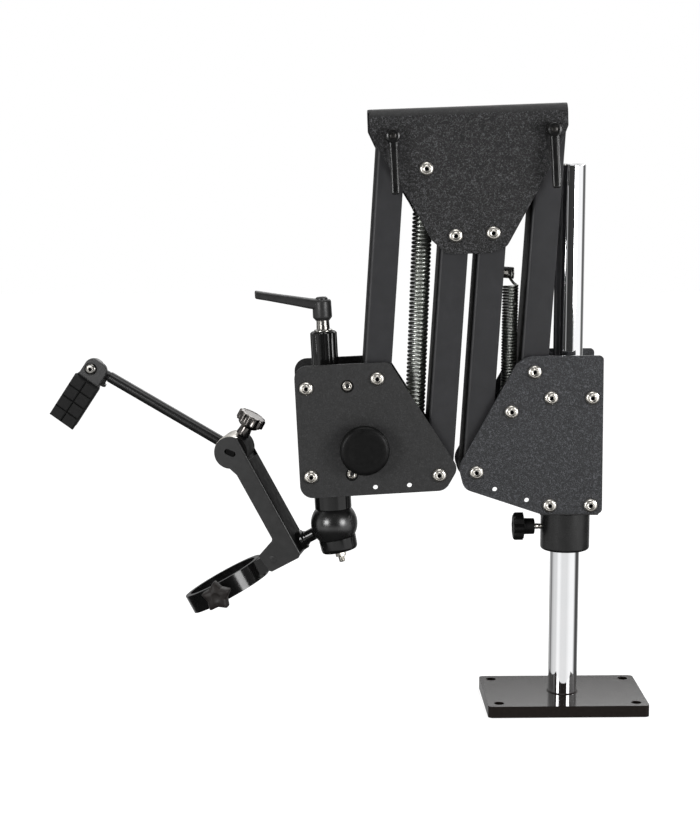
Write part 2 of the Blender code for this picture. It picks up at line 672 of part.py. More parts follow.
def ball_stud():
    nut = hexagon(10.0)
    rows = [(-BALL_R - GAP - 0.4, 3.4), (-29.3, 3.4), (-29.3, nut), (-35.0, nut),
            (-35.0, 3.4), (-41.0, 3.4)]
    piece('ball_stud', spun(rows, 18), CAP, bright_steel)


def side_stem():
    """Stem from the ball to the bracket web, with flange and inside nut."""
    nut = hexagon(13.0)
    rows = [(-BALL_R - GAP, 5.9), (-38.4, 5.9), (-38.4, 10.2), (WEB_U + GAP, 10.2),
            (WEB_U + GAP, BOLT_R), (WEB_U - 2.5 - GAP, BOLT_R), (WEB_U - 2.5 - GAP, nut),
            (WEB_U - 9.0, nut), (WEB_U - 9.0, BOLT_R), (WEB_U - 11.5, BOLT_R)]
    piece('side_stem', spun(rows, 18), along(BRACKET, '+X'), satin_black)


# --------------------------------------------------------- carrier and ring
def bracket():
    """Folded L: front and rear cheeks joined by a web facing the ball."""
    t, hd = 2.5, BRACKET_D / 2
    far = -90.0
    section = rounded([(far, -hd, 0), (WEB_U, -hd, 2.6), (WEB_U, hd, 2.6), (far, hd, 0),
                       (far, hd - t, 0), (WEB_U - t, hd - t, 0), (WEB_U - t, -hd + t, 0),
                       (far, -hd + t, 0)], 3)
    bm = loft([[(x, y, z) for x, y in section] for z in (-20, 140)])
    u0 = WEB_U - BRACKET_W
    head = [(BOSS_U + BOSS_R * math.cos(math.radians(a)), BOSS_W + BOSS_R * math.sin(math.radians(a)))
            for a in range(40, 241, 20)]
    outline = [(WEB_U + 1, -7.5), (WEB_U + 1, BOSS_W + 9.5)] + head
    outline += [(u0, 92.0), (u0, 17.5), (u0 - 1.5, 15.5), (-81.6, 8.1), (-79.3, -10.6),
                (-77.0, -12.7), (-45.3, -12.7), (-43.0, -11.0)]
    bm = carve(bm, slab(outline, -30, 30), 'INTERSECT')
    bm = carve(bm, box(WEB_U - t - 0.01, WEB_U + 5, -hd + t + 0.01, hd - t - 0.01, 99.5, 150),
               'DIFFERENCE')
    stem = pin(BOLT_HOLE_R, WEB_U - 10, WEB_U + 5, along(WORLD, '+X'), 18)
    bm = carve(bm, stem, 'DIFFERENCE')
    for u, w, r in ((BOSS_U, BOSS_W, 5.3), (-70.0, -2.0, 3.3)):
        hole = pin(r, -40, 40, along(WORLD, '+Y', (u, 0, w)), 18)
        bm = carve(bm, hole, 'DIFFERENCE')
    piece('bracket', bm, BRACKET, satin_black, origin=BALL)


def ring():
    """Clamping ring for the microscope body, with a lug held in the bracket."""
    z0, z1 = RING_W - RING_H / 2, RING_W + RING_H / 2
    outer = pin(RING_R, z0, z1, Matrix.Translation((RING_U, 0, 0)), 64)
    half = BRACKET_D / 2 - 2.5 - GAP
    lug = box(RING_U + 36, -64.0, -half + 4, half - 4, -11.5, 4.5)
    bm = carve(outer, lug, 'UNION')
    bm = carve(bm, pin(RING_BORE_R, z0 - 5, z1 + 5, Matrix.Translation((RING_U, 0, 0)), 64),
               'DIFFERENCE')
    bm = carve(bm, pin(3.3, 30, 60, along(WORLD, '-Y', (RING_KNOB_U, 0, RING_W)), 16),
               'DIFFERENCE')
    bm = carve(bm, pin(3.3, -40, 40, along(WORLD, '+Y', (-70.0, 0, -2.0)), 16), 'DIFFERENCE')
    piece('microscope_ring', bm, BRACKET, gloss_black)


def lug_pin():
    """Cross screw that holds the ring lug between the bracket cheeks."""
    h = BRACKET_D / 2
    rows = [(h + 2.6, 3.4), (h + 1.4, 5.2), (h + GAP, 5.4), (h + GAP, 3.0), (-h - GAP, 3.0),
            (-h - GAP, 5.0), (-h - 3.0, 5.0)]
    piece('lug_screw', spun(rows, 18), along(BRACKET, '-Y', (-70.0, 0, -2.0)), satin_black)


def ring_knob():
    star = lobes(13.0, 2.6, 5)
    rows = [(38.6, 3.0), (49.5, 3.0), (49.5, 7.0), (54.0, 8.0), (54.0, star), (64.0, star),
            (66.5, lobes(10.5, 2.0, 5))]
    frame = along(BRACKET, '-Y', (RING_KNOB_U, 0, RING_W))
    piece('ring_knob', spun(rows, 30), frame, black_plastic)


# --------------------------------------------------------------- hand grip
def handle_barrel():
    """Cross barrel between the bracket cheeks, bored for the rod."""
    half = BRACKET_D / 2 - 2.5 - GAP
    hinge = along(ROD, '+Y')
    bm = spun([(-half - 2.2, 5.0), (-half, 5.0), (-half, 16.4), (-half + 1.0, 17.3),
               (half - 1.0, 17.3), (half, 16.4), (half, 5.0), (half + 2.2, 5.0)], 32)
    bmesh.ops.transform(bm, matrix=along(WORLD, '+Y'), verts=bm.verts)
    bm = carve(bm, pin(ROD_R + 0.1, -11.0, 30, along(WORLD, '+X'), 24), 'DIFFERENCE')
    bm = carve(bm, pin(4.3, 2.0, 30, along(WORLD, '+Z'), 18), 'DIFFERENCE')
    piece('handle_barrel', bm, ROD, bright_steel)


def handle_rod():
    """Round rod through the barrel, ending in a flat eye for the paddle."""
    rows = [(-9.8, ROD_R - 0.5), (-9.3, ROD_R), (ROD_END - 8.0, ROD_R),
            (ROD_END - 7.0, ROD_R - 0.8), (ROD_END + 6.0, ROD_R - 0.8)]
    bar = spun(rows, 20)
    bmesh.ops.transform(bar, matrix=along(WORLD, '+X'), verts=bar.verts)
    eye = slab(rounded([(-9.0, 9.0, 8.5), (-9.0, -9.0, 8.5), (9.0, -9.0, 8.5),
                        (9.0, 9.0, 8.5)], 4), -6.2, 6.2)
    bmesh.ops.translate(eye, verts=eye.verts, vec=(PADDLE_S, 0, 0))
    bm = carve(bar, eye, 'UNION')
    bm = carve(bm, pin(3.3, -10, 10, along(WORLD, '+Y', (PADDLE_S, 0, 0)), 16), 'DIFFERENCE')
    piece('handle_rod', bm, ROD, gloss_black)


def handle_knob():
    grip = lobes(14.3, 0.7, 12)
    rows = [(ROD_R + GAP + 0.1, 4.0), (17.6, 4.0), (17.6, 6.5), (33.0, 6.2), (36.5, 10.0),
            (36.5, grip), (44.5, grip), (45.8, 12.6)]
    piece('handle_knob', spun(rows, 36), ROD, gloss_black)


def paddle():
    """Grip paddle: a clevis plate on the rod end with a ribbed rubber pad."""
    outline = rounded([(-14.2, 13.5, 9), (-14.2, -62.0, 5), (14.2, -62.0, 5), (14.2, 13.5, 9)], 4)
    bm = slab(outline, -2.0, 2.0, [circle(0, 0, 3.3)])
    frame = PADDLE @ Matrix.Translation((0, -8.5, 0))
    centre = PADDLE.translation
    piece('paddle_plate', bm, frame, satin_black, origin=centre)
    pad = slab(rounded([(-14.6, -10.4, 3), (-14.6, -62.4, 4), (14.6, -62.4, 4),
                        (14.6, -10.4, 3)], 4), -9.0, -2.0 - GAP)
    piece('paddle_pad', pad, frame, black_rubber, origin=centre)
    rows = [(14.2, 3.0), (13.4, 5.4), (10.5 + GAP, 5.6), (10.5 + GAP, 3.0), (-8.0, 3.0)]
    piece('paddle_screw', spun(rows, 18), along(PADDLE, '-Y'), bright_steel)


def main():
    for obj in list(bpy.data.objects):
        bpy.data.objects.remove(obj, do_unlink=True)
    base_plate()
    post()
    stop_collar()
    collar_knob()
    right_head()
    right_arms()
    spring_body('right_spring', RIGHT_ANCHOR, RIGHT_HOOK, 8.3, 2.0, 10.0)
    saddle()
    left_arms()
    spring_body('left_spring', LEFT_HOOK, LEFT_ANCHOR, 10.3, 2.7, 10.0)
    left_head()
    spindle()
    spindle_lever()
    ball()
    ball_cap()
    ball_stud()
    side_stem()
    bracket()
    ring()
    lug_pin()
    ring_knob()
    handle_barrel()
    handle_rod()
    handle_knob()
    paddle()


main()
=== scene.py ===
"""Studio scene of the microscope arm stand: finer pieces and surface finishes
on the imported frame. Lengths are millimetres in the frames below, and every
mesh is written in metres."""
import json
import math

import bmesh
import bpy
from mathutils import Matrix, Vector
from mathutils.geometry import tessellate_polygon


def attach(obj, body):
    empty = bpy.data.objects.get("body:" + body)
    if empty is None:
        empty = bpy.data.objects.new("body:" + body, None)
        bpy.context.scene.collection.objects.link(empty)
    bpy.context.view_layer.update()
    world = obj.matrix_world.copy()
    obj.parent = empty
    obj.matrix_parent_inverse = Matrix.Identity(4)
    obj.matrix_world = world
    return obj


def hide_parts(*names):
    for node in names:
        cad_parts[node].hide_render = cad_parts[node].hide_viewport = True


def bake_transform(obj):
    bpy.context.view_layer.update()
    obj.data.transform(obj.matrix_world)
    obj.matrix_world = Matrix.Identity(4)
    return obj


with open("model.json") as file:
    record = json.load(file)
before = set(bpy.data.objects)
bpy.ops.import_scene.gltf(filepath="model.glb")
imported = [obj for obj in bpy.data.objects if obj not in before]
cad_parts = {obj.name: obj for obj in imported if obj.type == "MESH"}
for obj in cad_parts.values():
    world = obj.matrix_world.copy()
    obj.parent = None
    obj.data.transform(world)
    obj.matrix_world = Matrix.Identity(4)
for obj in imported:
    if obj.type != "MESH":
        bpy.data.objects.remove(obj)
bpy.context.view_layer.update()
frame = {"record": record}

MM = 0.001
GAP = 0.3
TAU = 2.0 * math.pi

RECORD = frame["record"]
BODY = {n: b for b, names in RECORD["behaviour"]["bodies"].items() for n in names}

# ------------------------------------------------------------- dimensions
BASE_X, BASE_Y, BASE_T = 165.0, 112.0, 12.0
BASE_HOLE_R, BASE_SINK_R, BASE_HOLE_INSET = 3.3, 5.2, 12.0
POST_R, POST_TOP, POST_CLEAR = 15.0, 558.4, 0.15
COLLAR_R, COLLAR_Z0, COLLAR_Z1, COLLAR_KNOB_Z = 25.2, 164.0, 204.7, 187.7
ARM_LEN, ARM_LEAN = 241.3, math.radians(3.45)
ARM_W, ARM_D, ARM_T = 28.0, 55.0, 2.5
STEP = (ARM_LEN * math.sin(ARM_LEAN), ARM_LEN * math.cos(ARM_LEAN))
R_INNER, R_OUTER = (-95.3, 250.3), (-37.7, 352.2)
L_INNER, L_OUTER = (-132.7, 247.7), (-195.7, 345.9)
R_INNER_TOP, R_OUTER_TOP, L_INNER_TOP, L_OUTER_TOP = (
    (p[0] + STEP[0], p[1] + STEP[1]) for p in (R_INNER, R_OUTER, L_INNER, L_OUTER))
PLATE_Y, PLATE_T = 34.5, 4.0
BOLT_R, HOLE_R, NUT_ACROSS = 4.0, 4.3, 13.0
BUSH_W, BUSH_H, BUSH_BOLT_X = 60.0, 22.0, 20.7
PIVOT_WASHER_R = 10.5
BUSH_Z = (216.0, 326.0)
RIGHT_ANCHOR, RIGHT_HOOK = (-60.5, 312.0), (-59.3, 448.0)
LEFT_ANCHOR, LEFT_HOOK = (-147.5, 554.4), (-157.4, 262.0)
# Turn of its arm, in degrees, from which the right spring's shares are worked out. The arm's limit is
# 55.
RIGHT_SPRING_TURN = 44.0
SADDLE_O, SADDLE_T = (-102.0, 489.9), 3.0
BALL, BALL_R = Vector((-238.4, 0.0, 191.9)), 24.0
SPINDLE_R, SLEEVE_R = 7.0, 13.6
HEAD_BUSH_Z = (55.6, 145.5)
HAND_KNOB = (34.4, 81.8)
WEB_U, BRACKET_W, BRACKET_D, BRACKET_T = -41.0, 19.0, 44.0, 2.5
BOSS_U, BOSS_W, BOSS_R = -55.0, 115.5, 16.5
RING_U, RING_W, RING_R, BORE_R, RING_H = -132.7, -4.9, 44.0, 38.0, 19.6
RING_KNOB_U = -129.0
ROD_R, ROD_END, PADDLE_S = 5.7, 158.0, 169.4
HEAD_TILT, SADDLE_TILT, CARRIER_YAW, BRACKET_TILT, CAP_TILT = 3.1, 2.1, 10.7, 26.0, 9.0
ROD_ANGLE, PADDLE_TILT = math.radians(32), 37.0


# ----------------------------------------------------------------- frames
def axes(origin, x, y, z):
    m = Matrix((x, y, z)).transposed().to_4x4()
    m.translation = Vector(origin)
    return m


def turn_y(degrees):
    """Rotation about +Y that lifts +X towards +Z for a positive angle."""
    return Matrix.Rotation(-math.radians(degrees), 4, 'Y')


def move(x, y, z):
    return Matrix.Translation((x, y, z))


def link_frame(pivot):
    return move(pivot[0], 0, pivot[1]) @ turn_y(-math.degrees(ARM_LEAN))


WORLD = Matrix.Identity(4)
HEAD = Matrix.Translation(BALL) @ turn_y(HEAD_TILT)
SADDLE = move(SADDLE_O[0], 0, SADDLE_O[1]) @ turn_y(SADDLE_TILT)
CARRIER = HEAD @ Matrix.Rotation(-math.radians(CARRIER_YAW), 4, 'Z')
BRACKET = CARRIER @ turn_y(BRACKET_TILT)
CAP = CARRIER @ turn_y(CAP_TILT)
HINGE_POINT = BRACKET @ Vector((BOSS_U, 0, BOSS_W))
ROD_DIR = CARRIER.to_3x3() @ Vector((-math.cos(ROD_ANGLE), 0, math.sin(ROD_ANGLE)))
SIDE_DIR = CARRIER.to_3x3() @ Vector((0, 1, 0))
ROD = axes(HINGE_POINT, ROD_DIR, -SIDE_DIR, ROD_DIR.cross(-SIDE_DIR))
PADDLE = Matrix.Translation(HINGE_POINT + ROD_DIR * PADDLE_S) @ \
    CARRIER.to_3x3().to_4x4() @ turn_y(-PADDLE_TILT)


def along(base, axis, at=(0, 0, 0)):
    """Frame whose +Z is the named signed axis of the given frame."""
    turn = {
        '+Z': Matrix.Identity(4),
        '-Z': Matrix.Rotation(math.pi, 4, 'X'),
        '+Y': Matrix.Rotation(-math.pi / 2, 4, 'X'),
        '-Y': Matrix.Rotation(math.pi / 2, 4, 'X'),
        '+X': Matrix.Rotation(math.pi / 2, 4, 'Y'),
        '-X': Matrix.Rotation(-math.pi / 2, 4, 'Y'),
    }[axis]
    return base @ Matrix.Translation(at) @ turn


def local(base, point):
    v = base.inverted() @ Vector((point[0], 0, point[1]))
    return v.x, v.z


# -------------------------------------------------------------- materials
def rgba(colour):
    """Opaque colour from three values, or from one for a neutral grey."""
    return (*colour, 1) if isinstance(colour, tuple) else (colour, colour, colour, 1)


def put(node, values):
    """Values of a node's inputs that nothing is linked to."""
    for key, value in values.items():
        node.inputs[key].default_value = value


def colour_mix(tree, first, second, share):
    """Mix of two colours, each a value or a socket."""
    mix = tree.nodes.new('ShaderNodeMix')
    mix.data_type = 'RGBA'
    tree.links.new(share, mix.inputs['Factor'])
    for key, value in (('A', first), ('B', second)):
        if isinstance(value, (float, tuple)):
            mix.inputs[key].default_value = rgba(value)
        else:
            tree.links.new(value, mix.inputs[key])
    return mix.outputs['Result']


def finish(name, colour, rough, metal=0.0, *, mottle, uneven=None, grain=(), spec=0.5,
           brushed=None, streak=None):
    """Procedural finish. mottle is (scale, second colour, detail), uneven is
    (scale, low, high) roughness, grain is a list of (scale, strength, depth)
    bumps, brushed is (axis stretch, scale, low, high), streak is (scale, crest
    colour, strength, depth) of a wrinkled coat, whose lighter crest colour is a
    painted highlight on the raised wrinkles."""
    mat = bpy.data.materials.new(name)
    mat.use_nodes = True
    nodes, links = mat.node_tree.nodes, mat.node_tree.links
    shader = nodes['Principled BSDF']
    put(shader, {'Roughness': rough, 'Metallic': metal, 'Specular IOR Level': spec})
    where = nodes.new('ShaderNodeTexCoord').outputs['Object']

    def noise(scale, detail, fine=0.55, vector=where, distortion=0.0):
        tex = nodes.new('ShaderNodeTexNoise')
        put(tex, {'Scale': scale, 'Detail': detail, 'Roughness': fine,
                  'Distortion': distortion})
        links.new(vector, tex.inputs['Vector'])
        return tex.outputs['Fac']

    def spread(value, low, high, source_low=0.3, source_high=0.7):
        node = nodes.new('ShaderNodeMapRange')
        put(node, {'From Min': source_low, 'From Max': source_high,
                   'To Min': low, 'To Max': high})
        links.new(value, node.inputs['Value'])
        return node.outputs['Result']

    def bump(height, strength, depth, below):
        node = nodes.new('ShaderNodeBump')
        put(node, {'Strength': strength, 'Distance': depth})
        links.new(height, node.inputs['Height'])
        if below is not None:
            links.new(below, node.inputs['Normal'])
        return node.outputs['Normal']

    scale, second, detail = mottle
    surface = colour_mix(mat.node_tree, colour, second, spread(noise(scale, detail, 0.6), 0, 1))
    if uneven:
        scale, low, high = uneven
        links.new(spread(noise(scale, 3.0), low, high), shader.inputs['Roughness'])
    if brushed:
        axis_stretch, scale, low, high = brushed
        stretch = nodes.new('ShaderNodeMapping')
        put(stretch, {'Scale': axis_stretch})
        links.new(where, stretch.inputs['Vector'])
        links.new(spread(noise(scale, 2.0, 0.6, stretch.outputs['Vector']), low, high),
                  shader.inputs['Roughness'])
    normal = None
    if streak:
        scale, crest_highlight, strength, depth = streak
        lines = noise(scale, 2.5, distortion=1.6)
        # The raised wrinkles take the lighter colour: painted highlight on the crests of the bump.
        surface = colour_mix(mat.node_tree, surface, crest_highlight, spread(lines, 0, 1, 0.50, 0.66))
        normal = bump(lines, strength, depth, normal)
    for scale, strength, depth in grain:
        normal = bump(noise(scale, 3.0), strength, depth, normal)
    links.new(surface, shader.inputs['Base Color'])
    if normal is not None:
        links.new(normal, shader.inputs['Normal'])
    return mat


# The second streak colour of the three coats below is painted highlight on the wrinkle crests.
WRINKLE = finish('wrinkle_powder_coat', (0.003, 0.003, 0.0032), 0.46, spec=0.35,
                 mottle=(420, 0.006, 5.0), uneven=(300, 0.38, 0.56),
                 streak=(470, (0.066, 0.066, 0.070), 0.90, 0.0014),
                 grain=[(1500, 0.30, 0.0003)])
FINE_WRINKLE = finish('fine_wrinkle_coat', (0.013, 0.0133, 0.0145), 0.48, spec=0.35,
                      mottle=(600, (0.020, 0.021, 0.023), 5.0), uneven=(400, 0.40, 0.58),
                      streak=(520, (0.066, 0.068, 0.075), 0.6, 0.0009),
                      grain=[(1900, 0.30, 0.0002)])
SMOOTH_COAT = finish('smooth_powder_coat', 0.017, 0.50, spec=0.3,
                     mottle=(300, (0.023, 0.023, 0.0235), 4.0), uneven=(120, 0.46, 0.56),
                     streak=(480, (0.032, 0.032, 0.0325), 0.25, 0.0004),
                     grain=[(1600, 0.22, 0.0002)])
ARM_PAINT = finish('arm_satin_paint', (0.020, 0.020, 0.0215), 0.44, spec=0.3,
                   mottle=(60, (0.024, 0.024, 0.026), 3.0), uneven=(90, 0.40, 0.50),
                   grain=[(1300, 0.16, 0.0002)])
# Near-black painted shade, laid on socket recesses, web faces and the handle barrel where they stay
# in shade.
PAINTED_SHADE_BLACK = finish('painted_shade_black', 0.002, 0.50, spec=0.06,
                    mottle=(200, 0.004, 3.0), uneven=(140, 0.44, 0.58),
                    grain=[(1400, 0.12, 0.0002)])
SATIN = finish('satin_paint', 0.014, 0.36, spec=0.4,
               mottle=(150, 0.020, 3.0), uneven=(140, 0.30, 0.42),
               grain=[(1400, 0.12, 0.0002)])
GLOSS = finish('gloss_paint', 0.003, 0.13, spec=0.45,
               mottle=(80, 0.005, 2.0), uneven=(90, 0.11, 0.16))
SEMI_GLOSS = finish('semi_gloss_paint', 0.006, 0.27, spec=0.45,
                    mottle=(120, 0.009, 2.0), uneven=(90, 0.23, 0.31))
ENAMEL = finish('base_enamel', (0.0060, 0.0042, 0.0034), 0.12, spec=0.12,
                mottle=(340, (0.010, 0.0075, 0.0062), 4.0), uneven=(420, 0.06, 0.12),
                grain=[(420, 0.10, 0.0003), (1100, 0.05, 0.0002)])
RESIN = finish('moulded_resin', 0.0030, 0.42, spec=0.16,
               mottle=(200, 0.0045, 3.0), uneven=(220, 0.34, 0.50),
               grain=[(1500, 0.16, 0.0002)])
BROWN_RESIN = finish('brown_black_resin', (0.0085, 0.0065, 0.0055), 0.48, spec=0.35,
                     mottle=(200, (0.014, 0.011, 0.010), 3.0), uneven=(220, 0.40, 0.56),
                     grain=[(1300, 0.20, 0.0002)])
GLOSS_RESIN = finish('gloss_resin', 0.005, 0.24, spec=0.45,
                     mottle=(120, 0.008, 2.0), uneven=(160, 0.18, 0.30),
                     grain=[(600, 0.06, 0.0002)])
STEEL = finish('machined_steel', (0.86, 0.83, 0.77), 0.30, 1.0,
               mottle=(160, (0.78, 0.75, 0.69), 2.0), uneven=(120, 0.27, 0.34))
BLUED = finish('blued_steel', (0.060, 0.058, 0.056), 0.34, 1.0,
               mottle=(260, (0.040, 0.038, 0.036), 2.0), uneven=(300, 0.28, 0.42))
SPRING = finish('drawn_wire', (0.66, 0.68, 0.64), 0.36, 1.0,
                mottle=(260, (0.52, 0.54, 0.50), 3.0), uneven=(500, 0.30, 0.44),
                grain=[(1300, 0.06, 0.0001)])
CHROME = finish('polished_chrome', (0.96, 0.96, 0.97), 0.04, 1.0,
                mottle=(30, (0.93, 0.94, 0.95), 2.0),
                brushed=((1, 1, 14), 60, 0.03, 0.06))
RUBBER = finish('black_rubber', 0.005, 0.60, spec=0.2,
                mottle=(300, 0.008, 4.0), uneven=(300, 0.52, 0.72),
                grain=[(1100, 0.30, 0.0003)])
NYLON = finish('nylon_washer', 0.030, 0.50,
               mottle=(300, 0.04, 3.0), uneven=(200, 0.42, 0.56))
SOFT_GLOSS = finish('soft_gloss_paint', 0.004, 0.27, spec=1.0,
                    mottle=(80, 0.006, 2.0), uneven=(60, 0.26, 0.29))
DULL_STEEL = finish('turned_steel', (0.34, 0.33, 0.31), 0.22, 1.0,
                    mottle=(260, (0.28, 0.27, 0.25), 2.0), uneven=(200, 0.19, 0.27))
BLACK_CHROME = finish('black_chrome', (0.17, 0.16, 0.15), 0.22, 1.0,
                      mottle=(160, (0.13, 0.12, 0.115), 2.0), uneven=(120, 0.19, 0.27))


# ----------------------------------------------------------- mesh helpers
def add_object(name, bm):
    """New object in the scene from a mesh, which is freed."""
    mesh = bpy.data.meshes.new(name)
    bm.to_mesh(mesh)
    bm.free()
    obj = bpy.data.objects.new(name, mesh)
    bpy.context.scene.collection.objects.link(obj)
    return obj


def to_metres(bm, base):
    bmesh.ops.transform(bm, matrix=Matrix.Scale(MM, 4) @ base, verts=bm.verts)
    bmesh.ops.recalc_face_normals(bm, faces=bm.faces)


def piece(node, bm, base, mat, bevel=0.5, seg=2, tag='fine', angle=35.0):
    """Closed mesh in frame millimetres becomes a piece that rides with the body
    of a CAD node. The piece tagged fine stands for that node."""
    to_metres(bm, base)
    obj = add_object(f'{node}_{tag}', bm)
    obj.data.materials.append(mat)
    obj.data.shade_smooth()
    if bevel:
        mod = obj.modifiers.new('edges', 'BEVEL')
        mod.width = bevel * MM
        mod.segments = seg
        mod.limit_method = 'ANGLE'
        mod.angle_limit = math.radians(angle)
        mod.harden_normals = True
        mod.miter_outer = 'MITER_ARC'
    else:
        obj.data.set_sharp_from_angle(angle=math.radians(angle))
    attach(obj, BODY[node])
    if tag == 'fine':
        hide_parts(node)
    return obj


def finish_or_painted_shade(obj, mat, *looks):
    """Faces that look along a direction take another material, a second finish
    or black painted shade. A look is (direction, least cosine)."""
    mesh = obj.data
    mesh.materials.append(mat)
    for face in mesh.polygons:
        if any(face.normal.dot(way) > least for way, least in looks):
            face.material_index = 1


def skin(bm, rings, closed=False):
    """Faces between neighbouring rings of vertices, with a cap at each end
    unless the last ring joins the first."""
    pairs = list(zip(rings, rings[1:]))
    if closed:
        pairs.append((rings[-1], rings[0]))
    else:
        bm.faces.new(rings[0])
        bm.faces.new(rings[-1])
    n = len(rings[0])
    for low, high in pairs:
        for i in range(n):
            j = (i + 1) % n
            bm.faces.new((low[i], low[j], high[j], high[i]))
    return bm


def spun(rows, n=64, closed=False):
    """Body made of rings along +Z. A row is (height, radius or radius(angle))."""
    bm = bmesh.new()
    rings = []
    for height, radius in rows:
        ring = []
        for i in range(n):
            a = TAU * i / n
            r = radius(a) if callable(radius) else radius
            ring.append(bm.verts.new((r * math.cos(a), r * math.sin(a), height)))
        rings.append(ring)
    return skin(bm, rings, closed)


def slab(outline, y0, y1, holes=()):
    """Flat plate: outline in X, Z extruded along Y, with through holes."""
    loops = [outline] + list(holes)
    flat = [p for loop in loops for p in loop]
    tris = tessellate_polygon([[Vector((x, z, 0)) for x, z in loop] for loop in loops])
    bm = bmesh.new()
    front = [bm.verts.new((x, y0, z)) for x, z in flat]
    back = [bm.verts.new((x, y1, z)) for x, z in flat]
    for a, b, c in tris:
        bm.faces.new((front[a], front[b], front[c]))
        bm.faces.new((back[a], back[c], back[b]))
    start = 0
    for loop in loops:
        count = len(loop)
        for i in range(count):
            a, b = start + i, start + (i + 1) % count
            bm.faces.new((front[a], front[b], back[b], back[a]))
        start += count
    bmesh.ops.recalc_face_normals(bm, faces=bm.faces)
    bmesh.ops.dissolve_limit(bm, angle_limit=0.0005, verts=bm.verts, edges=bm.edges)
    return bm


def loft(sections):
    """Body through polygons of equal corner count, capped at both ends."""
    bm = bmesh.new()
    return skin(bm, [[bm.verts.new(p) for p in section] for section in sections])


def circle(x, z, r, n=40):
    return [(x + r * math.cos(TAU * i / n), z + r * math.sin(TAU * i / n))
            for i in range(n)]


def rounded(corners, steps=10):
    """Polygon corners (x, z, radius) to points with arcs at the corners."""
    out = []
    count = len(corners)
    for i, (x, z, r) in enumerate(corners):
        p = Vector((x, z))
        a = Vector(corners[i - 1][:2]) - p
        b = Vector(corners[(i + 1) % count][:2]) - p
        if r <= 0:
            out.append((x, z))
            continue
        half = a.angle(b) / 2
        reach = r / math.tan(half)
        centre = p + (a.normalized() + b.normalized()).normalized() * (r / math.sin(half))
        start = p + a.normalized() * reach - centre
        end = p + b.normalized() * reach - centre
        sweep = start.angle_signed(end)
        for k in range(steps + 1):
            t = sweep * k / steps
            c, s = math.cos(-t), math.sin(-t)
            out.append((centre.x + start.x * c - start.y * s,
                        centre.y + start.x * s + start.y * c))
    return out


def stadium(length, r, steps=16):
    """Outline of a bar with full round ends about (0, 0) and (0, length)."""
    pts = [(r * math.cos(math.pi + math.pi * i / steps),
            r * math.sin(math.pi + math.pi * i / steps)) for i in range(steps + 1)]
    pts += [(r * math.cos(math.pi * i / steps),
             length + r * math.sin(math.pi * i / steps)) for i in range(steps + 1)]
    return pts


def carve(bm, tool, operation='DIFFERENCE'):
    """Exact boolean of two closed bodies held in the same coordinates."""
    objects = []
    for source in (bm, tool):
        bmesh.ops.recalc_face_normals(source, faces=source.faces)
        objects.append(add_object('carve', source))
    body, cutter = objects
    mod = body.modifiers.new('carve', 'BOOLEAN')
    mod.operation = operation
    mod.solver = 'EXACT'
    mod.object = cutter
    graph = bpy.context.evaluated_depsgraph_get()
    result = bpy.data.meshes.new_from_object(body.evaluated_get(graph))
    out = bmesh.new()
    out.from_mesh(result)
    bmesh.ops.remove_doubles(out, verts=out.verts, dist=0.0001)
    bmesh.ops.dissolve_limit(out, angle_limit=0.0005, verts=out.verts, edges=out.edges)
    bpy.data.meshes.remove(result)
    for obj in objects:
        mesh = obj.data
        bpy.data.objects.remove(obj)
        bpy.data.meshes.remove(mesh)
    return out


def pin(radius, z0, z1, base=WORLD, n=48):
    return turned(spun([(z0, radius), (z1, radius)], n), base)


def turned(bm, base):
    bmesh.ops.transform(bm, matrix=base, verts=bm.verts)
    return bm


def hexagon(across):
    def radius(a):
        t = (a + math.pi / 6) % (math.pi / 3) - math.pi / 6
        return across / 2 / math.cos(t)
    return radius


def blunt(across, corner):
    """Hexagon with its corners turned down to a radius."""
    nut = hexagon(across)
    return lambda a: min(nut(a), corner)


def lobes(mean, swing, count, sharp=1.0):
    """Radius that swells count times a turn, with narrower hollows if sharp."""
    def radius(a):
        c = 0.5 + 0.5 * math.cos(count * a)
        return mean + swing * (2.0 * c ** sharp - 1.0)
    return radius


def star_points(tip, hollow, count):
    """Radius of a star with straight flanks and blunt tips."""
    half = math.pi / count

    def radius(a):
        t = abs((a + half) % (2 * half) - half)
        straight = tip * hollow * math.sin(half) / (
            hollow * math.sin(half - t) + tip * math.sin(t))
        return min(straight, tip - 0.9)
    return radius


def arc(z0, r0, z1, r1, bulge, steps=6):
    """Rows of a rounded profile corner from (z0, r0) to (z1, r1)."""
    rows = []
    for i in range(steps + 1):
        t = 0.5 * math.pi * i / steps
        if bulge == 'out':
            rows.append((z0 + (z1 - z0) * math.sin(t), r1 + (r0 - r1) * math.cos(t)))
        else:
            rows.append((z0 + (z1 - z0) * (1 - math.cos(t)), r0 + (r1 - r0) * math.sin(t)))
    return rows


def thread(z0, z1, r, pitch=1.25, depth=0.6):
    """Rows of a right-hand screw thread."""
    rows = []
    count = int(abs(z1 - z0) / pitch * 6)
    for i in range(count + 1):
        z = z0 + (z1 - z0) * i / count

        def radius(a, z=z):
            t = (z / pitch - a / TAU) % 1.0
            return r - depth * abs(2 * t - 1)
        rows.append((z, radius))
    return rows


def sweep(path, radius, n=8):
    """Round wire along a path of points, with flat ends."""
    bm = bmesh.new()
    rings = []
    side = None
    for i, p in enumerate(path):
        ahead = path[min(i + 1, len(path) - 1)] - path[max(i - 1, 0)]
        ahead.normalize()
        if side is None:
            side = ahead.orthogonal().normalized()
        side = (side - ahead * side.dot(ahead)).normalized()
        up = ahead.cross(side)
        rings.append([bm.verts.new(p + (side * math.cos(TAU * k / n) +
                                        up * math.sin(TAU * k / n)) * radius)
                      for k in range(n)])
    return skin(bm, rings)


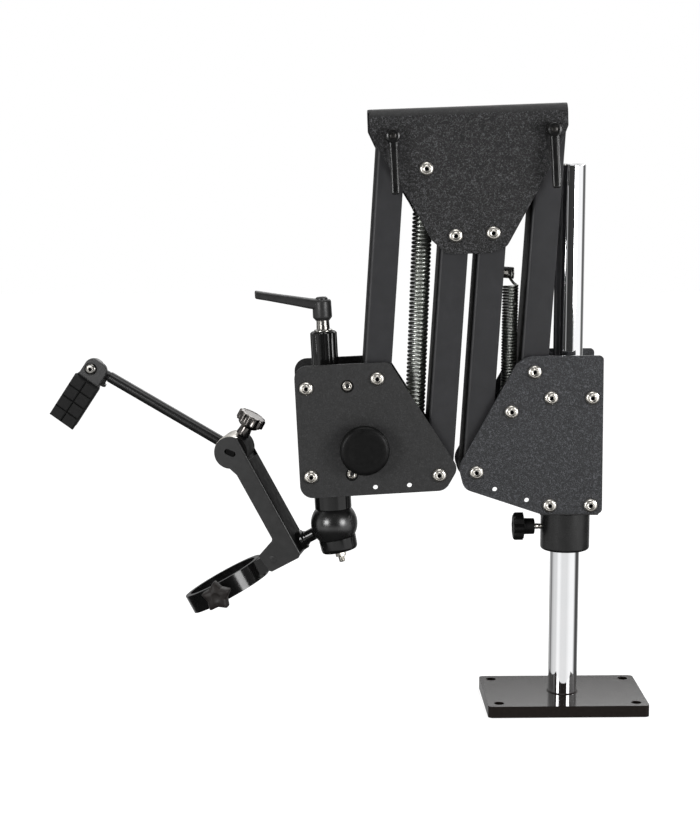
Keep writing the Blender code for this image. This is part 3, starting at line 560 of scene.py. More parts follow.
def limb(stations, steps=6, n=28, power=3.0):
    """Smooth bar through stations (centre, half width, half height): its
    sections are soft rectangles in Y and the last given direction."""
    sections = []
    rows = []
    for i in range(len(stations) - 1):
        a = stations[max(i - 1, 0)]
        b, c = stations[i], stations[i + 1]
        d = stations[min(i + 2, len(stations) - 1)]
        for k in range(steps):
            t = k / steps
            row = []
            for p0, p1, p2, p3 in zip(a, b, c, d):
                row.append(0.5 * (2 * p1 + (p2 - p0) * t + (2 * p0 - 5 * p1 + 4 * p2 - p3)
                                  * t * t + (3 * p1 - p0 - 3 * p2 + p3) * t ** 3))
            rows.append(row)
    rows.append(list(stations[-1]))
    for x, y, z, wide, tall in rows:
        section = []
        for k in range(n):
            a = TAU * k / n
            c, s = math.cos(a), math.sin(a)
            section.append((x, y + wide * math.copysign(abs(c) ** (2 / power), c),
                            z + tall * math.copysign(abs(s) ** (2 / power), s)))
        sections.append(section)
    return loft(sections)


# ---------------------------------------------------------- base and post
def base_and_post():
    hx, hy, r = BASE_X / 2, BASE_Y / 2, 5.0
    outline = rounded([(-hx, -hy, r), (hx, -hy, r), (hx, hy, r), (-hx, hy, r)])
    inset_x, inset_y = hx - BASE_HOLE_INSET, hy - BASE_HOLE_INSET
    spots = [(sx * inset_x, sy * inset_y) for sx in (-1, 1) for sy in (-1, 1)]
    holes = [circle(x, y, BASE_HOLE_R) for x, y in spots]
    bm = slab(outline, 0, BASE_T, holes)
    turned(bm, Matrix.Rotation(math.pi / 2, 4, 'X') @ Matrix.Scale(-1, 4, (0, 1, 0)))
    bmesh.ops.translate(bm, verts=bm.verts, vec=(0, 0, -min(v.co.z for v in bm.verts)))
    for x, y in spots:
        bm = carve(bm, pin(BASE_SINK_R, BASE_T - 5.5, BASE_T + 5, move(x, y, 0), 40))
    piece('base_plate', bm, WORLD, ENAMEL, 0.8, 3)
    rows = [(BASE_T + GAP, POST_R), (40, POST_R), (200, POST_R), (400, POST_R),
            (POST_TOP - 1.0, POST_R), (POST_TOP, POST_R - 1.0), (POST_TOP, 4.2),
            (POST_TOP - 9, 3.6)]
    piece('post', spun(rows, 128), WORLD, CHROME, 0.3)
    rows = [(BASE_T - 0.5, POST_R + 0.2), (BASE_T + 0.9, POST_R + 0.2),
            (BASE_T + 0.2, POST_R + 1.4), (BASE_T - 0.5, POST_R + 1.4)]
    piece('base_plate', spun(rows, 96, True), WORLD, ENAMEL, 0, tag='fillet')
    z0, z1, r, b = COLLAR_Z0, COLLAR_Z1, COLLAR_R, POST_R + POST_CLEAR
    rows = [(z0, b), (z0, r - 3.0)] + arc(z0, r - 3.0, z0 + 3.0, r, 'in')[1:]
    rows += [(z0 + 12, r), (z1 - 1.0, r), (z1, r - 1.0), (z1, b)]
    bm = spun(rows, 96, closed=True)
    hole = pin(3.3, -40, -b + 2.0, along(WORLD, '+X', (0, 0, COLLAR_KNOB_Z)))
    piece('stop_collar', carve(bm, hole), WORLD, SEMI_GLOSS, 0.3)


def collar_knob():
    base = along(WORLD, '+X', (0, 0, COLLAR_KNOB_Z))
    grip = lobes(13.3, 1.2, 8, 0.7)
    rows = [(-32.0, 3.2), (-32.0, 7.6), (-32.6, 8.2), (-43.1, 8.4), (-43.1, 11.5),
            (-43.6, grip), (-52.0, grip), (-53.4, lobes(12.4, 1.0, 8, 0.7)),
            (-54.1, lobes(10.6, 0.6, 8)), (-54.1, 6.0), (-53.5, 5.4)]
    piece('collar_knob', spun(rows, 160), base, RESIN, 0.35)
    rows = [(-18.0, 2.4), (-18.6, 3.0)] + thread(-18.8, -28, 3.0, 1.0, 0.45)
    rows += [(-28.2, 2.9), (-32.6, 2.9)]
    piece('collar_knob', spun(rows, 32), base, STEEL, 0, tag='screw')


# -------------------------------------------------------------- fasteners
def painted_socket_shade(node, at, low, top, floor):
    """Black lining of a hexagon socket: painted shade in its recess."""
    wide, narrow = hexagon(3.5), hexagon(3.1)
    rows = [(low, wide), (top, wide), (top, narrow), (low + floor, narrow)]
    # Black painted shade inside the socket.
    piece(node, spun(rows, 48), at, PAINTED_SHADE_BLACK, 0, tag='socket', angle=30)


def cross_bolt(node, base, x, z, front=PLATE_Y, rear=PLATE_Y, mat=STEEL, r=7.0):
    """Button-head socket bolt along Y, with a nut on the rear face."""
    h = 4.4
    socket = hexagon(3.6)
    rows = [(front + h - 3.0, socket), (front + h - 0.5, socket), (front + h - 0.1, hexagon(4.1)),
            (front + h + 0.1, r * 0.45), (front + h - 0.25, r * 0.54),
            (front + h - 0.55, r * 0.57), (front + h - 0.3, r * 0.61)]
    rows += arc(front + h - 0.3, r * 0.61, front + 1.3, r, 'in', 7)[1:]
    rows += [(front + 0.1, r), (front + 0.1, BOLT_R), (front - 3, BOLT_R),
             (-rear + 2, BOLT_R), (-rear - 6.6, BOLT_R)]
    rows += thread(-rear - 6.7, -rear - 7.4, BOLT_R, 1.25) + [(-rear - 7.9, 3.2)]
    at = along(base, '-Y', (x, 0, z))
    piece(node, spun(rows, 48), at, mat, 0, angle=30)
    painted_socket_shade(node, at, front + h - 2.95, front + h - 0.5, 0.3)
    nut, chamfer = hexagon(NUT_ACROSS), blunt(NUT_ACROSS, 6.7)
    rows = [(-rear - 0.9, 4.05), (-rear - 0.9, chamfer), (-rear - 1.4, nut), (-rear - 6.0, nut),
            (-rear - 6.5, chamfer), (-rear - 6.5, 4.05)]
    piece(node, spun(rows, 48, True), at, mat, 0.2, tag='nut')
    rows = [(-rear, 4.2), (-rear, 8.3), (-rear - 0.9, 8.3), (-rear - 0.9, 4.2)]
    piece(node, spun(rows, 48, True), at, mat, 0.15, tag='washer')


def pivot_washers(node, base, points, inner):
    """Nylon washers that fill the gap between the arms and the side plates."""
    for i, (x, z) in enumerate(points):
        for side, y in (('front', -1), ('rear', 1)):
            low, high = ARM_D / 2 + 0.1, inner - 0.1
            rows = [(low, HOLE_R), (low, PIVOT_WASHER_R), (high, PIVOT_WASHER_R), (high, HOLE_R)]
            at = along(base, '-Y' if y < 0 else '+Y', (x, 0, z))
            piece(node, spun(rows, 40, True), at, NYLON, 0.3,
                  tag=f'{side}_washer_{i + 1}')


def side_bush(node, base, z, bore_r):
    """Block between the side plates that guides a round shaft."""
    half = PLATE_Y - PLATE_T - GAP
    outline = rounded([(-BUSH_W / 2, z - BUSH_H / 2, 1.5), (BUSH_W / 2, z - BUSH_H / 2, 1.5),
                       (BUSH_W / 2, z + BUSH_H / 2, 1.5), (-BUSH_W / 2, z + BUSH_H / 2, 1.5)], 4)
    bm = slab(outline, -half, half)
    bm = carve(bm, pin(bore_r, z - BUSH_H, z + BUSH_H, n=80))
    piece(node, bm, base, SATIN, 0.5)


# ------------------------------------------------------------- right head
RIGHT_OUTLINE = [(-56.1, 360.5, 3), (-113.4, 256.0, 16), (-107.6, 233.2, 12),
                 (-31.5, 207.6, 3), (32.8, 207.4, 5), (31.6, 368.5, 4), (-44.5, 368.5, 22)]


def right_head():
    rear = list(RIGHT_OUTLINE)
    rear[2], rear[3] = (-107.6, 237.7, 12), (-31.5, 212.1, 3)
    holes = [circle(x, z, 2.5, 24) for x, z in ((-76.4, 232.8), (-43.9, 221.5))]
    for node, y0, corners in (('right_front_plate', -PLATE_Y, RIGHT_OUTLINE),
                              ('right_rear_plate', PLATE_Y - PLATE_T, rear)):
        piece(node, slab(rounded(corners), y0, y0 + PLATE_T, holes), WORLD, FINE_WRINKLE, 0.6)
    for level, z in zip(('lower', 'upper'), BUSH_Z):
        side_bush(f'{level}_post_bush', WORLD, z, POST_R + POST_CLEAR)
        for side, sx in (('left', -1), ('right', 1)):
            cross_bolt(f'{level}_post_bush_bolt_{side}', WORLD, sx * BUSH_BOLT_X, z)
    cross_bolt('right_outer_pivot_bolt', WORLD, *R_OUTER)
    cross_bolt('right_inner_pivot_bolt', WORLD, *R_INNER)
    cross_bolt('right_spring_anchor', WORLD, *RIGHT_ANCHOR)
    pivot_washers('right_front_plate', WORLD, (R_OUTER, R_INNER), PLATE_Y - PLATE_T)


# ------------------------------------------------------------------- arms
def channel(node, pivot):
    """Folded channel, web on the side away from the post, open towards it."""
    hw, hd, t, r = ARM_W / 2, ARM_D / 2, ARM_T, 4.0
    section = rounded([(-hw, -hd, r), (hw, -hd, 0), (hw, -hd + t, 0),
                       (-hw + t, -hd + t, r - t), (-hw + t, hd - t, r - t),
                       (hw, hd - t, 0), (hw, hd, 0), (-hw, hd, r)], 6)
    bm = loft([[(x, y, z) for x, y in section] for z in (-hw - 1, ARM_LEN + hw + 1)])
    bm = carve(bm, slab(stadium(ARM_LEN, hw), -hd - 5, hd + 5), 'INTERSECT')
    for z in (0, ARM_LEN):
        bm = carve(bm, pin(HOLE_R, -hd - 5, hd + 5, along(WORLD, '+Y', (0, 0, z))))
    obj = piece(node, bm, link_frame(pivot), ARM_PAINT, 0.3)
    # Faces looking along -X, the web's outer side, take black painted shade.
    finish_or_painted_shade(obj, PAINTED_SHADE_BLACK, (Vector((-1, 0, 0)), 0.8))


def spool(node, base, x_head, x_end, x_groove):
    """Stud with a hexagon head at one end and a grooved eye at the other."""
    s = 1 if x_end > x_head else -1
    nut = hexagon(10.0)
    rows = [(x_head, blunt(10.0, 5.3)), (x_head + s * 0.5, nut),
            (x_head + s * 3.0, nut), (x_head + s * 3.0, 3.0),
            (x_groove - s * 9.0, 3.0), (x_groove - s * 8.9, hexagon(8.4)),
            (x_groove - s * 3.2, hexagon(8.4)), (x_groove - s * 3.2, 4.4),
            (x_groove - s * 1.6, 4.6), (x_groove - s * 0.8, 3.1), (x_groove, 2.5),
            (x_groove + s * 0.8, 3.1), (x_groove + s * 1.6, 4.6), (x_end, 4.6)]
    piece(node, spun(rows, 48), base, DULL_STEEL, 0.2)


def arms():
    hx, hz = local(link_frame(R_INNER), RIGHT_HOOK)
    channel('right_outer_arm', R_OUTER)
    channel('right_inner_arm', R_INNER)
    spool('right_spring_hook', along(link_frame(R_INNER), '+X', (0, 0, hz)),
          -ARM_W / 2 + ARM_T + GAP + 3.0, hx + 3.0, hx)
    strap = slab([(hx - 9.5, 4.4), (hx + 2.6, 4.4), (hx + 2.6, 7.0), (hx - 9.5, 7.0)], -4.0, 4.0)
    piece('right_spring_hook', strap, link_frame(R_INNER) @ move(0, 0, hz), SATIN, 0.4,
          tag='strap')
    hx, hz = local(link_frame(L_INNER), LEFT_HOOK)
    channel('left_outer_arm', L_OUTER)
    channel('left_inner_arm', L_INNER)
    spool('left_spring_hook', along(link_frame(L_INNER), '+X', (0, 0, hz)),
          -ARM_W / 2 + ARM_T + GAP + 3.0, hx - 3.0, hx)


def straight_shares(fixed, moving, pivot, turn, stops):
    """Share of the moving body at each stop of a spring, from its fixed end at 0 to
    its moving end at 1, for that body turned by so many degrees. The shares
    would keep the spring straight if points slid in a line."""
    fixed, moving, pivot = Vector(fixed), Vector(moving), Vector(pivot)
    spin = Matrix.Rotation(math.radians(turn), 2)
    lead = pivot + spin @ (fixed - pivot) - fixed
    rest = moving - fixed
    line = pivot + spin @ (moving - pivot) - fixed
    slide = line - rest - lead
    return [(s, -s * rest.cross(line) / (lead + s * slide).cross(line)) for s in stops]


def spring(node, low, high, coil_r, wire, pitch, low_turn, high_turn, bodies, shares):
    """Wound extension spring with a loop at each end. A loop turned by 0 goes
    round a bar along Y, by 90 round a bar along X. Shares lists where each
    stretch starts, counted from the fixed end, and how far it would follow the
    second body; the wire is cut into stretches at these places."""
    a, b = Vector((low[0], 0, low[1])), Vector((high[0], 0, high[1]))
    across, z = Vector((0, 1, 0)), (b - a).normalized()
    base = axes(a, across.cross(z), across, z)
    length = (b - a).length
    mean, per = coil_r - wire / 2, 18
    loop_r = 5.6
    z0 = loop_r + 6.0
    turns = round((length - 2 * z0) / pitch)

    def end_loop(turn):
        """Loop about the end point and the way up to the first coil."""
        spin = Matrix.Rotation(math.radians(turn), 3, 'Z')
        pts = [spin @ Vector((loop_r * math.sin(t), 0, -loop_r * math.cos(t)))
               for t in (math.radians(v) for v in range(-150, 151, 15))]
        last = pts[-1]
        pts += [last.lerp(Vector((mean, 0, z0)), f) + Vector((0, 0, 1.2 * math.sin(math.pi * f)))
                for f in (0.25, 0.5, 0.75)]
        return pts
    path = end_loop(low_turn)
    count = turns * per
    rise = length - 2 * z0
    for i in range(count + 1):
        t = TAU * i / per
        path.append(Vector((mean * math.cos(t), mean * math.sin(t), z0 + rise * i / count)))
    top = [Vector((p.x, -p.y, length - p.z)) for p in end_loop(-high_turn)]
    path += top[::-1]
    fixed_low = bodies[0] == 'low'
    places = [p.z / length for p in path]
    if not fixed_low:
        path = path[::-1]
        places = [1 - s for s in places[::-1]]
    start = 0
    for i, ((s0, w0), (s1, w1)) in enumerate(zip(shares, shares[1:])):
        stop = len(path) - 1
        if i < len(shares) - 2:
            stop = next(k for k, s in enumerate(places) if k > start and s >= s1)
        bm = sweep(path[start:stop + 1], wire / 2, 9)
        to_metres(bm, base)
        obj = add_object(f'{node}_coil_{i}' if i else f'{node}_fine', bm)
        obj.data.materials.append(SPRING)
        obj.data.shade_smooth()
        if not i:
            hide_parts(node)
        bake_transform(obj)
        start = stop


# ----------------------------------------------------------------- saddle
SADDLE_OUTLINE = [(-97.6, 140, 0), (-97.6, 103.5, 3), (-91.3, 89.0, 6), (-58.5, 31.5, 0),
                  (-40.0, -4.5, 14), (-25.0, -18.8, 14), (18.0, -19.2, 14), (34.5, -13.6, 12),
                  (79.8, 63.6, 0), (91.8, 88.5, 6), (98.1, 103.5, 3), (98.1, 140, 0)]


def clamp_lever(node, point):
    """Moulded lever hanging from its hub, swept slightly outwards."""
    x, z = local(SADDLE, point)
    y0 = PLATE_Y + GAP
    rows = [(y0, 6.6), (y0 + 1.0, 7.2), (y0 + 13.2, 7.2), (y0 + 15.0, 6.4), (y0 + 15.5, 5.0),
            (y0 + 14.6, 4.4)]
    hub = turned(spun(rows, 64), along(WORLD, '-Y'))
    arm = limb([(3.0, 0, y0 + 9.5, 4.8, 3.2), (-8.0, 0, y0 + 10.6, 4.5, 3.2),
                (-22.0, 0, y0 + 12.6, 4.2, 3.1), (-40.0, 0, y0 + 15.0, 4.2, 3.0),
                (-53.0, 0, y0 + 16.6, 4.2, 2.9), (-56.2, 0, y0 + 17.0, 3.6, 2.4),
                (-57.0, 0, y0 + 17.1, 2.6, 1.6)])
    turned(arm, Matrix(((0, 1, 0, 0), (0, 0, -1, 0), (1, 0, 0, 0), (0, 0, 0, 1))))
    bm = carve(hub, arm, 'UNION')
    hang = SADDLE @ move(x, 0, z) @ turn_y(0.6)
    piece(node, bm, hang, GLOSS_RESIN, 0.3)
    rows = [(y0 + 13.5, 3.0), (y0 + 14.9, 3.0), (y0 + 15.2, 2.4)]
    piece(node, spun(rows, 32), along(hang, '-Y'), BLUED, 0.15, tag='screw')


def saddle():
    y, t, r, top = PLATE_Y, SADDLE_T, 9.0, 125.8
    section = rounded([(-y, -30, 0), (-y + t, -30, 0), (-y + t, top - t, r - t),
                       (y - t, top - t, r - t), (y - t, -30, 0), (y, -30, 0),
                       (y, top, r), (-y, top, r)], 8)
    bm = loft([[(x, y_, z) for y_, z in section] for x in (-110, 110)])
    bm = carve(bm, slab(rounded(SADDLE_OUTLINE), -50, 50), 'INTERSECT')
    obj = piece('saddle', bm, SADDLE, WRINKLE, 0.5)
    finish_or_painted_shade(obj, SMOOTH_COAT, (Vector((0, 0, 1)), 0.15))
    for node, point in (('saddle_right_pivot_bolt', R_INNER_TOP),
                        ('saddle_left_pivot_bolt', L_INNER_TOP),
                        ('left_spring_anchor', LEFT_ANCHOR)):
        cross_bolt(node, SADDLE, *local(SADDLE, point))
    nut, chamfer = hexagon(NUT_ACROSS), blunt(NUT_ACROSS, 6.7)
    for side, point in (('left', L_OUTER_TOP), ('right', R_OUTER_TOP)):
        rows = [(PLATE_Y + 9.0, BOLT_R), (-PLATE_Y - GAP, BOLT_R),
                (-PLATE_Y - GAP, chamfer), (-PLATE_Y - 0.8, nut),
                (-PLATE_Y - 6.0, nut), (-PLATE_Y - 6.5, chamfer),
                (-PLATE_Y - 6.5, 4.0), (-PLATE_Y - 7.6, 3.8)]
        x, z = local(SADDLE, point)
        piece(f'{side}_clamp_stud', spun(rows, 48), along(SADDLE, '-Y', (x, 0, z)), STEEL, 0.2)
        clamp_lever(f'{side}_clamp_lever', point)
    tops = [local(SADDLE, p) for p in (R_INNER_TOP, R_OUTER_TOP, L_INNER_TOP, L_OUTER_TOP)]
    pivot_washers('saddle', SADDLE, tops, PLATE_Y - SADDLE_T)


# -------------------------------------------------------------- tool head
LEFT_OUTLINE = [(-31.9, 168.3, 13), (-32.4, 33.8, 13), (114.0, 33.8, 13), (128.2, 56.0, 12),
                (66.0, 164.0, 6), (61.0, 167.6, 3)]


def left_head():
    small, wide = ([circle(x, z, r, 24) for x, z in ((43.6, 41.2), (78.0, 41.3))]
                   for r in (2.5, 4.6))
    wells = [circle(BUSH_BOLT_X, z, 6.6) for z in HEAD_BUSH_Z]
    outline = rounded(LEFT_OUTLINE)
    piece('left_front_plate', slab(outline, -PLATE_Y, -PLATE_Y + PLATE_T, small + wells),
          HEAD, SMOOTH_COAT, 0.6)
    piece('left_rear_plate', slab(outline, PLATE_Y - PLATE_T, PLATE_Y, wide),
          HEAD, SMOOTH_COAT, 0.6)
    for level, z in zip(('lower', 'upper'), HEAD_BUSH_Z):
        side_bush(f'{level}_spindle_bush', HEAD, z, SLEEVE_R + 0.2)
        cross_bolt(f'{level}_spindle_bush_bolt_left', HEAD, -BUSH_BOLT_X, z)
        cross_bolt(f'{level}_spindle_bush_bolt_right', HEAD, BUSH_BOLT_X, z,
                   PLATE_Y - PLATE_T - GAP - 2.6, r=6.2)
    cross_bolt('left_outer_pivot_bolt', HEAD, *local(HEAD, L_OUTER))
    cross_bolt('left_inner_pivot_bolt', HEAD, *local(HEAD, L_INNER))
    pivot_washers('left_front_plate', HEAD, (local(HEAD, L_OUTER), local(HEAD, L_INNER)),
                  PLATE_Y - PLATE_T)
    flat = lobes(SLEEVE_R - 0.45, 0.45, 10, 0.6)
    rows = [(45.5, SPINDLE_R + 0.35), (45.5, SLEEVE_R - 0.9), (46.5, flat), (172.0, flat),
            (197.2, flat), (198.7, SLEEVE_R - 1.6), (198.7, SPINDLE_R + 0.35)]
    piece('spindle_sleeve', spun(rows, 160, True), HEAD, GLOSS, 0.25)
    y = PLATE_Y
    rows = [(y - 9.0, 5.0), (y + 3.0, 5.0), (y + 3.0, 11.0), (y + 7.4, 12.0)]
    rows += arc(y + 7.4, 12.0, y + 9.6, 22.6, 'in', 5)[1:]
    rows += arc(y + 9.6, 22.6, y + 12.6, 25.0, 'in', 5)[1:]
    rows += [(y + 16.6, 25.0)] + arc(y + 16.6, 25.0, y + 20.6, 19.5, 'out', 7)[1:]
    rows += [(y + 21.0, 17.0), (y + 20.7, 15.8), (y + 20.7, 6.0)]
    piece('hand_knob', spun(rows, 96), along(HEAD, '-Y', (HAND_KNOB[0], 0, HAND_KNOB[1])),
          RESIN, 0.25)


# ------------------------------------------------------- spindle and ball
def seat(r, clear=GAP):
    return math.sqrt((BALL_R + clear) ** 2 - r * r)


def spindle():
    neck = 18.8
    rows = [(199.8, SPINDLE_R), (44.2, SPINDLE_R), (44.2, neck - 1.2), (43.0, neck),
            (34.0, neck), (33.4, neck - 0.5), (32.6, neck - 0.5), (32.0, neck),
            (seat(neck) + 1.0, neck), (seat(neck - 1.2), neck - 1.2), (seat(14.0), 14.0),
            (seat(9.0), 9.0), (BALL_R + 0.6, 9.0)]
    piece('spindle', spun(rows, 96), HEAD, GLOSS, 0.25)
    rows = [(209.6, 6.5), (201.0, 6.8), (200.3, 9.2), (199.9, 9.4), (198.9, 9.4), (198.9, 4.0)]
    rows = [(225.0, 3.2), (209.6, 3.6)] + rows
    piece('spindle', spun(rows, 80), HEAD, DULL_STEEL, 0.2, tag='taper')


def spindle_lever():
    """Clamping lever: a hub on the spindle thread with a swept arm."""
    rows = [(210.0, 7.2), (212.5, 9.2)] + arc(212.5, 9.2, 214.0, 9.8, 'in', 4)[1:]
    rows += [(228.2, 9.6)] + arc(228.2, 9.6, 231.0, 7.6, 'out', 5)[1:]
    rows += [(231.0, 6.3), (232.6, 6.1), (233.6, 4.8), (233.6, 2.2), (232.9, 1.9)]
    hub = spun(rows, 96)
    arm = limb([(-2.0, 0, 226.2, 7.6, 5.3), (-12.0, 0, 227.7, 6.8, 5.3),
                (-26.0, 0, 230.8, 5.9, 4.9), (-40.0, 0, 233.8, 5.6, 4.5),
                (-54.0, 0, 236.9, 5.9, 4.2), (-64.6, 0, 239.2, 6.1, 4.1),
                (-66.3, 0, 239.6, 5.8, 3.8), (-67.0, 0, 239.7, 4.8, 3.0)], 6, 32, 4.5)
    bm = carve(hub, arm, 'UNION')
    piece('spindle_lever', bm, HEAD, SATIN, 0.3)
    rows = [(208.6, 3.4), (208.6, 6.6), (210.2, 6.6), (210.2, 3.4)]
    piece('spindle_lever', spun(rows, 64, True), HEAD, DULL_STEEL, 0.2, tag='collar')


def ball_joint():
    steps = 40
    rows = [(BALL_R * math.cos(math.pi * i / steps), BALL_R * math.sin(math.pi * i / steps))
            for i in range(1, steps)]
    piece('ball', spun(rows, 96), CARRIER, SOFT_GLOSS, 0, angle=60)
    rows = [(-seat(18.2), 18.2), (-seat(19.2) - 0.6, 19.2), (-24.6, 18.9)]
    rows += arc(-24.6, 18.9, -29.0, 16.6, 'out', 5)[1:]
    rows += [(-29.0, 6.0), (-26.8, 6.0), (-seat(4.0) - 1.2, 4.0), (-seat(4.0), 4.0),
             (-seat(10.0), 10.0), (-seat(15.0), 15.0)]
    piece('ball_cap', spun(rows, 96, True), CAP, GLOSS, 0.25)
    nut, chamfer = hexagon(10.0), blunt(10.0, 5.2)
    rows = [(-BALL_R - GAP - 0.4, 3.4), (-28.2, 3.4), (-28.2, 8.6), (-29.2, 8.6), (-29.2, 6.0),
            (-29.3, chamfer), (-29.8, nut), (-34.4, nut), (-35.0, chamfer), (-35.0, 3.4)]
    rows += thread(-35.2, -40.2, 3.4, 1.25, 0.55) + [(-41.0, 2.6)]
    piece('ball_stud', spun(rows, 48), CAP, STEEL, 0.15)
    nut, chamfer = hexagon(NUT_ACROSS), blunt(NUT_ACROSS, 6.8)
    rows = [(-BALL_R - GAP, 6.4), (-32.4, 6.4), (-33.0, 7.4), (-34.8, 7.4), (-35.4, 9.4),
            (-36.0, 10.2), (WEB_U + GAP, 10.2), (WEB_U + GAP, BOLT_R),
            (WEB_U - 2.8, BOLT_R), (WEB_U - 2.8, chamfer), (WEB_U - 3.4, nut),
            (WEB_U - 8.4, nut), (WEB_U - 9.0, chamfer),
            (WEB_U - 9.0, BOLT_R)] + thread(WEB_U - 9.2, WEB_U - 11.5, BOLT_R, 1.25)
    piece('side_stem', spun(rows, 64), along(BRACKET, '+X'), GLOSS, 0.2)


# -------------------------------------------------------- carrier and ring
def bracket():
    """Folded L: front and rear cheeks joined by a web facing the ball."""
    t, hd = BRACKET_T, BRACKET_D / 2
    far = -90.0
    section = rounded([(far, -hd, 0), (WEB_U, -hd, 2.6), (WEB_U, hd, 2.6), (far, hd, 0),
                       (far, hd - t, 0), (WEB_U - t, hd - t, 0), (WEB_U - t, -hd + t, 0),
                       (far, -hd + t, 0)], 6)
    bm = loft([[(x, y, z) for x, y in section] for z in (-20, 140)])
    u0 = WEB_U - BRACKET_W
    head = [(BOSS_U + BOSS_R * math.cos(math.radians(a)), BOSS_W + BOSS_R * math.sin(math.radians(a)))
            for a in range(40, 241, 8)]
    outline = [(WEB_U + 1, -7.5), (WEB_U + 1, BOSS_W + 9.5)] + head
    outline += [(u0, 92.0), (u0, 17.5), (u0 - 1.5, 15.5), (-81.6, 8.1), (-79.3, -10.6),
                (-77.0, -12.7), (-45.3, -12.7), (-43.0, -11.0)]
    bm = carve(bm, slab(outline, -30, 30), 'INTERSECT')
    gap = slab([(WEB_U - t - 0.01, 99.5), (WEB_U + 5, 99.5), (WEB_U + 5, 150),
                (WEB_U - t - 0.01, 150)], -hd + t + 0.01, hd - t - 0.01)
    bm = carve(bm, gap)
    bm = carve(bm, pin(HOLE_R, WEB_U - 10, WEB_U + 5, along(WORLD, '+X')))
    slot = turned(slab(stadium(6.4, 2.9, 10), -40, 40),
                  move(BOSS_U, 0, BOSS_W) @ turn_y(40) @ move(0, 0, -3.2))
    bm = carve(bm, slot)
    obj = piece('bracket', bm, BRACKET, SATIN, 0.35)
    # The web's outer face, looking along the bracket's +X, takes black painted shade.
    finish_or_painted_shade(obj, PAINTED_SHADE_BLACK, (BRACKET.to_3x3() @ Vector((1, 0, 0)), 0.8))


def ring():
    """Clamping ring for the microscope body, with a lug held in the bracket."""
    z0, z1 = RING_W - RING_H / 2, RING_W + RING_H / 2
    at = move(RING_U, 0, 0)
    outer = pin(RING_R, z0, z1, at, 144)
    half = BRACKET_D / 2 - BRACKET_T - GAP
    lug = slab(rounded([(RING_U + 36, -11.5, 0), (-64.0, -11.5, 4), (-64.0, 4.5, 4),
                        (RING_U + 36, 4.5, 0)], 6), -half + 4, half - 4)
    bm = carve(outer, lug, 'UNION')
    bm = carve(bm, pin(BORE_R, z0 - 5, z1 + 5, at, 144))
    bm = carve(bm, pin(3.3, 30, 60, along(WORLD, '-Y', (RING_KNOB_U, 0, RING_W))))
    piece('microscope_ring', bm, BRACKET, GLOSS, 0.7, 3)
    h = BRACKET_D / 2
    rows = [(h + 0.1, hexagon(2.6)), (h + 0.5, hexagon(2.6)), (h + 0.5, 3.4), (h + 0.4, 3.8)]
    rows += [(h + GAP, 3.8), (h + GAP, 3.0), (-h - GAP, 3.0), (-h - GAP, 5.0), (-h - 3.0, 5.0)]
    piece('lug_screw', spun(rows, 48), along(BRACKET, '-Y', (-70.0, 0, -2.0)), SATIN, 0.2)
    star = star_points(16.2, 10.4, 5)
    rows = [(44.4, 4.6), (44.4, 6.6), (49.5, 7.0), (53.4, 8.0), (53.8, 9.6),
            (54.4, star), (63.2, star), (65.2, star_points(14.6, 9.4, 5)),
            (66.3, star_points(12.0, 8.0, 5)), (66.5, 5.0), (66.1, 4.4)]
    base = along(BRACKET, '-Y', (RING_KNOB_U, 0, RING_W))
    piece('ring_knob', spun(rows, 160), base, BROWN_RESIN, 0.35)
    rows = [(38.6, 2.4), (39.2, 2.9)] + thread(39.4, 46.0, 2.9, 1.0, 0.45)
    piece('ring_knob', spun(rows, 32), base, STEEL, 0, tag='screw')


# ---------------------------------------------------------------- hand grip
def hand_grip():
    half = BRACKET_D / 2 - BRACKET_T - GAP
    bm = spun([(-half - 2.2, 4.6), (-half, 4.6), (-half, 16.4), (-half + 1.0, 17.3),
               (half - 1.0, 17.3), (half, 16.4), (half, 4.6), (half + 2.2, 4.6)], 96)
    turned(bm, along(WORLD, '+Y'))
    bm = carve(bm, pin(ROD_R + 0.1, -11.0, 30, along(WORLD, '+X')))
    bm = carve(bm, pin(4.3, 2.0, 30))
    obj = piece('handle_barrel', bm, ROD, STEEL, 0.25)
    # The barrel's flat ends and its faces looking along the carrier's +X take black painted shade.
    finish_or_painted_shade(obj, PAINTED_SHADE_BLACK, (CARRIER.to_3x3() @ Vector((1, 0, 0)), 0.35),
                  (SIDE_DIR, 0.8), (-SIDE_DIR, 0.8))

    rows = [(-9.8, ROD_R - 0.5), (-9.3, ROD_R), (40, ROD_R), (100, ROD_R),
            (ROD_END - 8.0, ROD_R), (ROD_END - 7.0, ROD_R - 0.8), (ROD_END + 6.0, ROD_R - 0.8)]
    bar = turned(spun(rows, 64), along(WORLD, '+X'))
    eye = slab(rounded([(-9.0, 9.0, 8.5), (-9.0, -9.0, 8.5), (9.0, -9.0, 8.5),
                        (9.0, 9.0, 8.5)], 10), -6.2, 6.2)
    bmesh.ops.translate(eye, verts=eye.verts, vec=(PADDLE_S, 0, 0))
    bm = carve(bar, eye, 'UNION')
    bm = carve(bm, pin(3.3, -10, 10, along(WORLD, '+Y', (PADDLE_S, 0, 0))))
    piece('handle_rod', bm, ROD, SEMI_GLOSS, 0.3)
    rows = [(ROD_R - 2.0, 2.6), (ROD_R + 3.4, 2.6), (ROD_R + 3.6, 4.4), (ROD_R + 6.4, 4.4),
            (ROD_R + 6.8, 3.6)]
    piece('handle_rod', spun(rows, 40), along(ROD, '-Z', (ROD_END - 4.0, 0, 0)), SATIN, 0.3,
          tag='stop_screw')

    grip = lobes(14.2, 0.8, 12, 0.8)
    rows = [(ROD_R + GAP + 0.1, 4.0), (17.6, 4.0), (17.6, 6.9), (18.6, 7.2), (27.4, 6.0)]
    rows += arc(27.4, 6.0, 31.8, 11.6, 'in', 6)[1:]
    rows += [(32.4, grip), (40.4, grip), (41.6, lobes(13.4, 0.6, 12)), (42.0, 12.2),
             (42.0, 9.8), (41.6, 9.4)]
    piece('handle_knob', spun(rows, 144), ROD, BLACK_CHROME, 0.25)


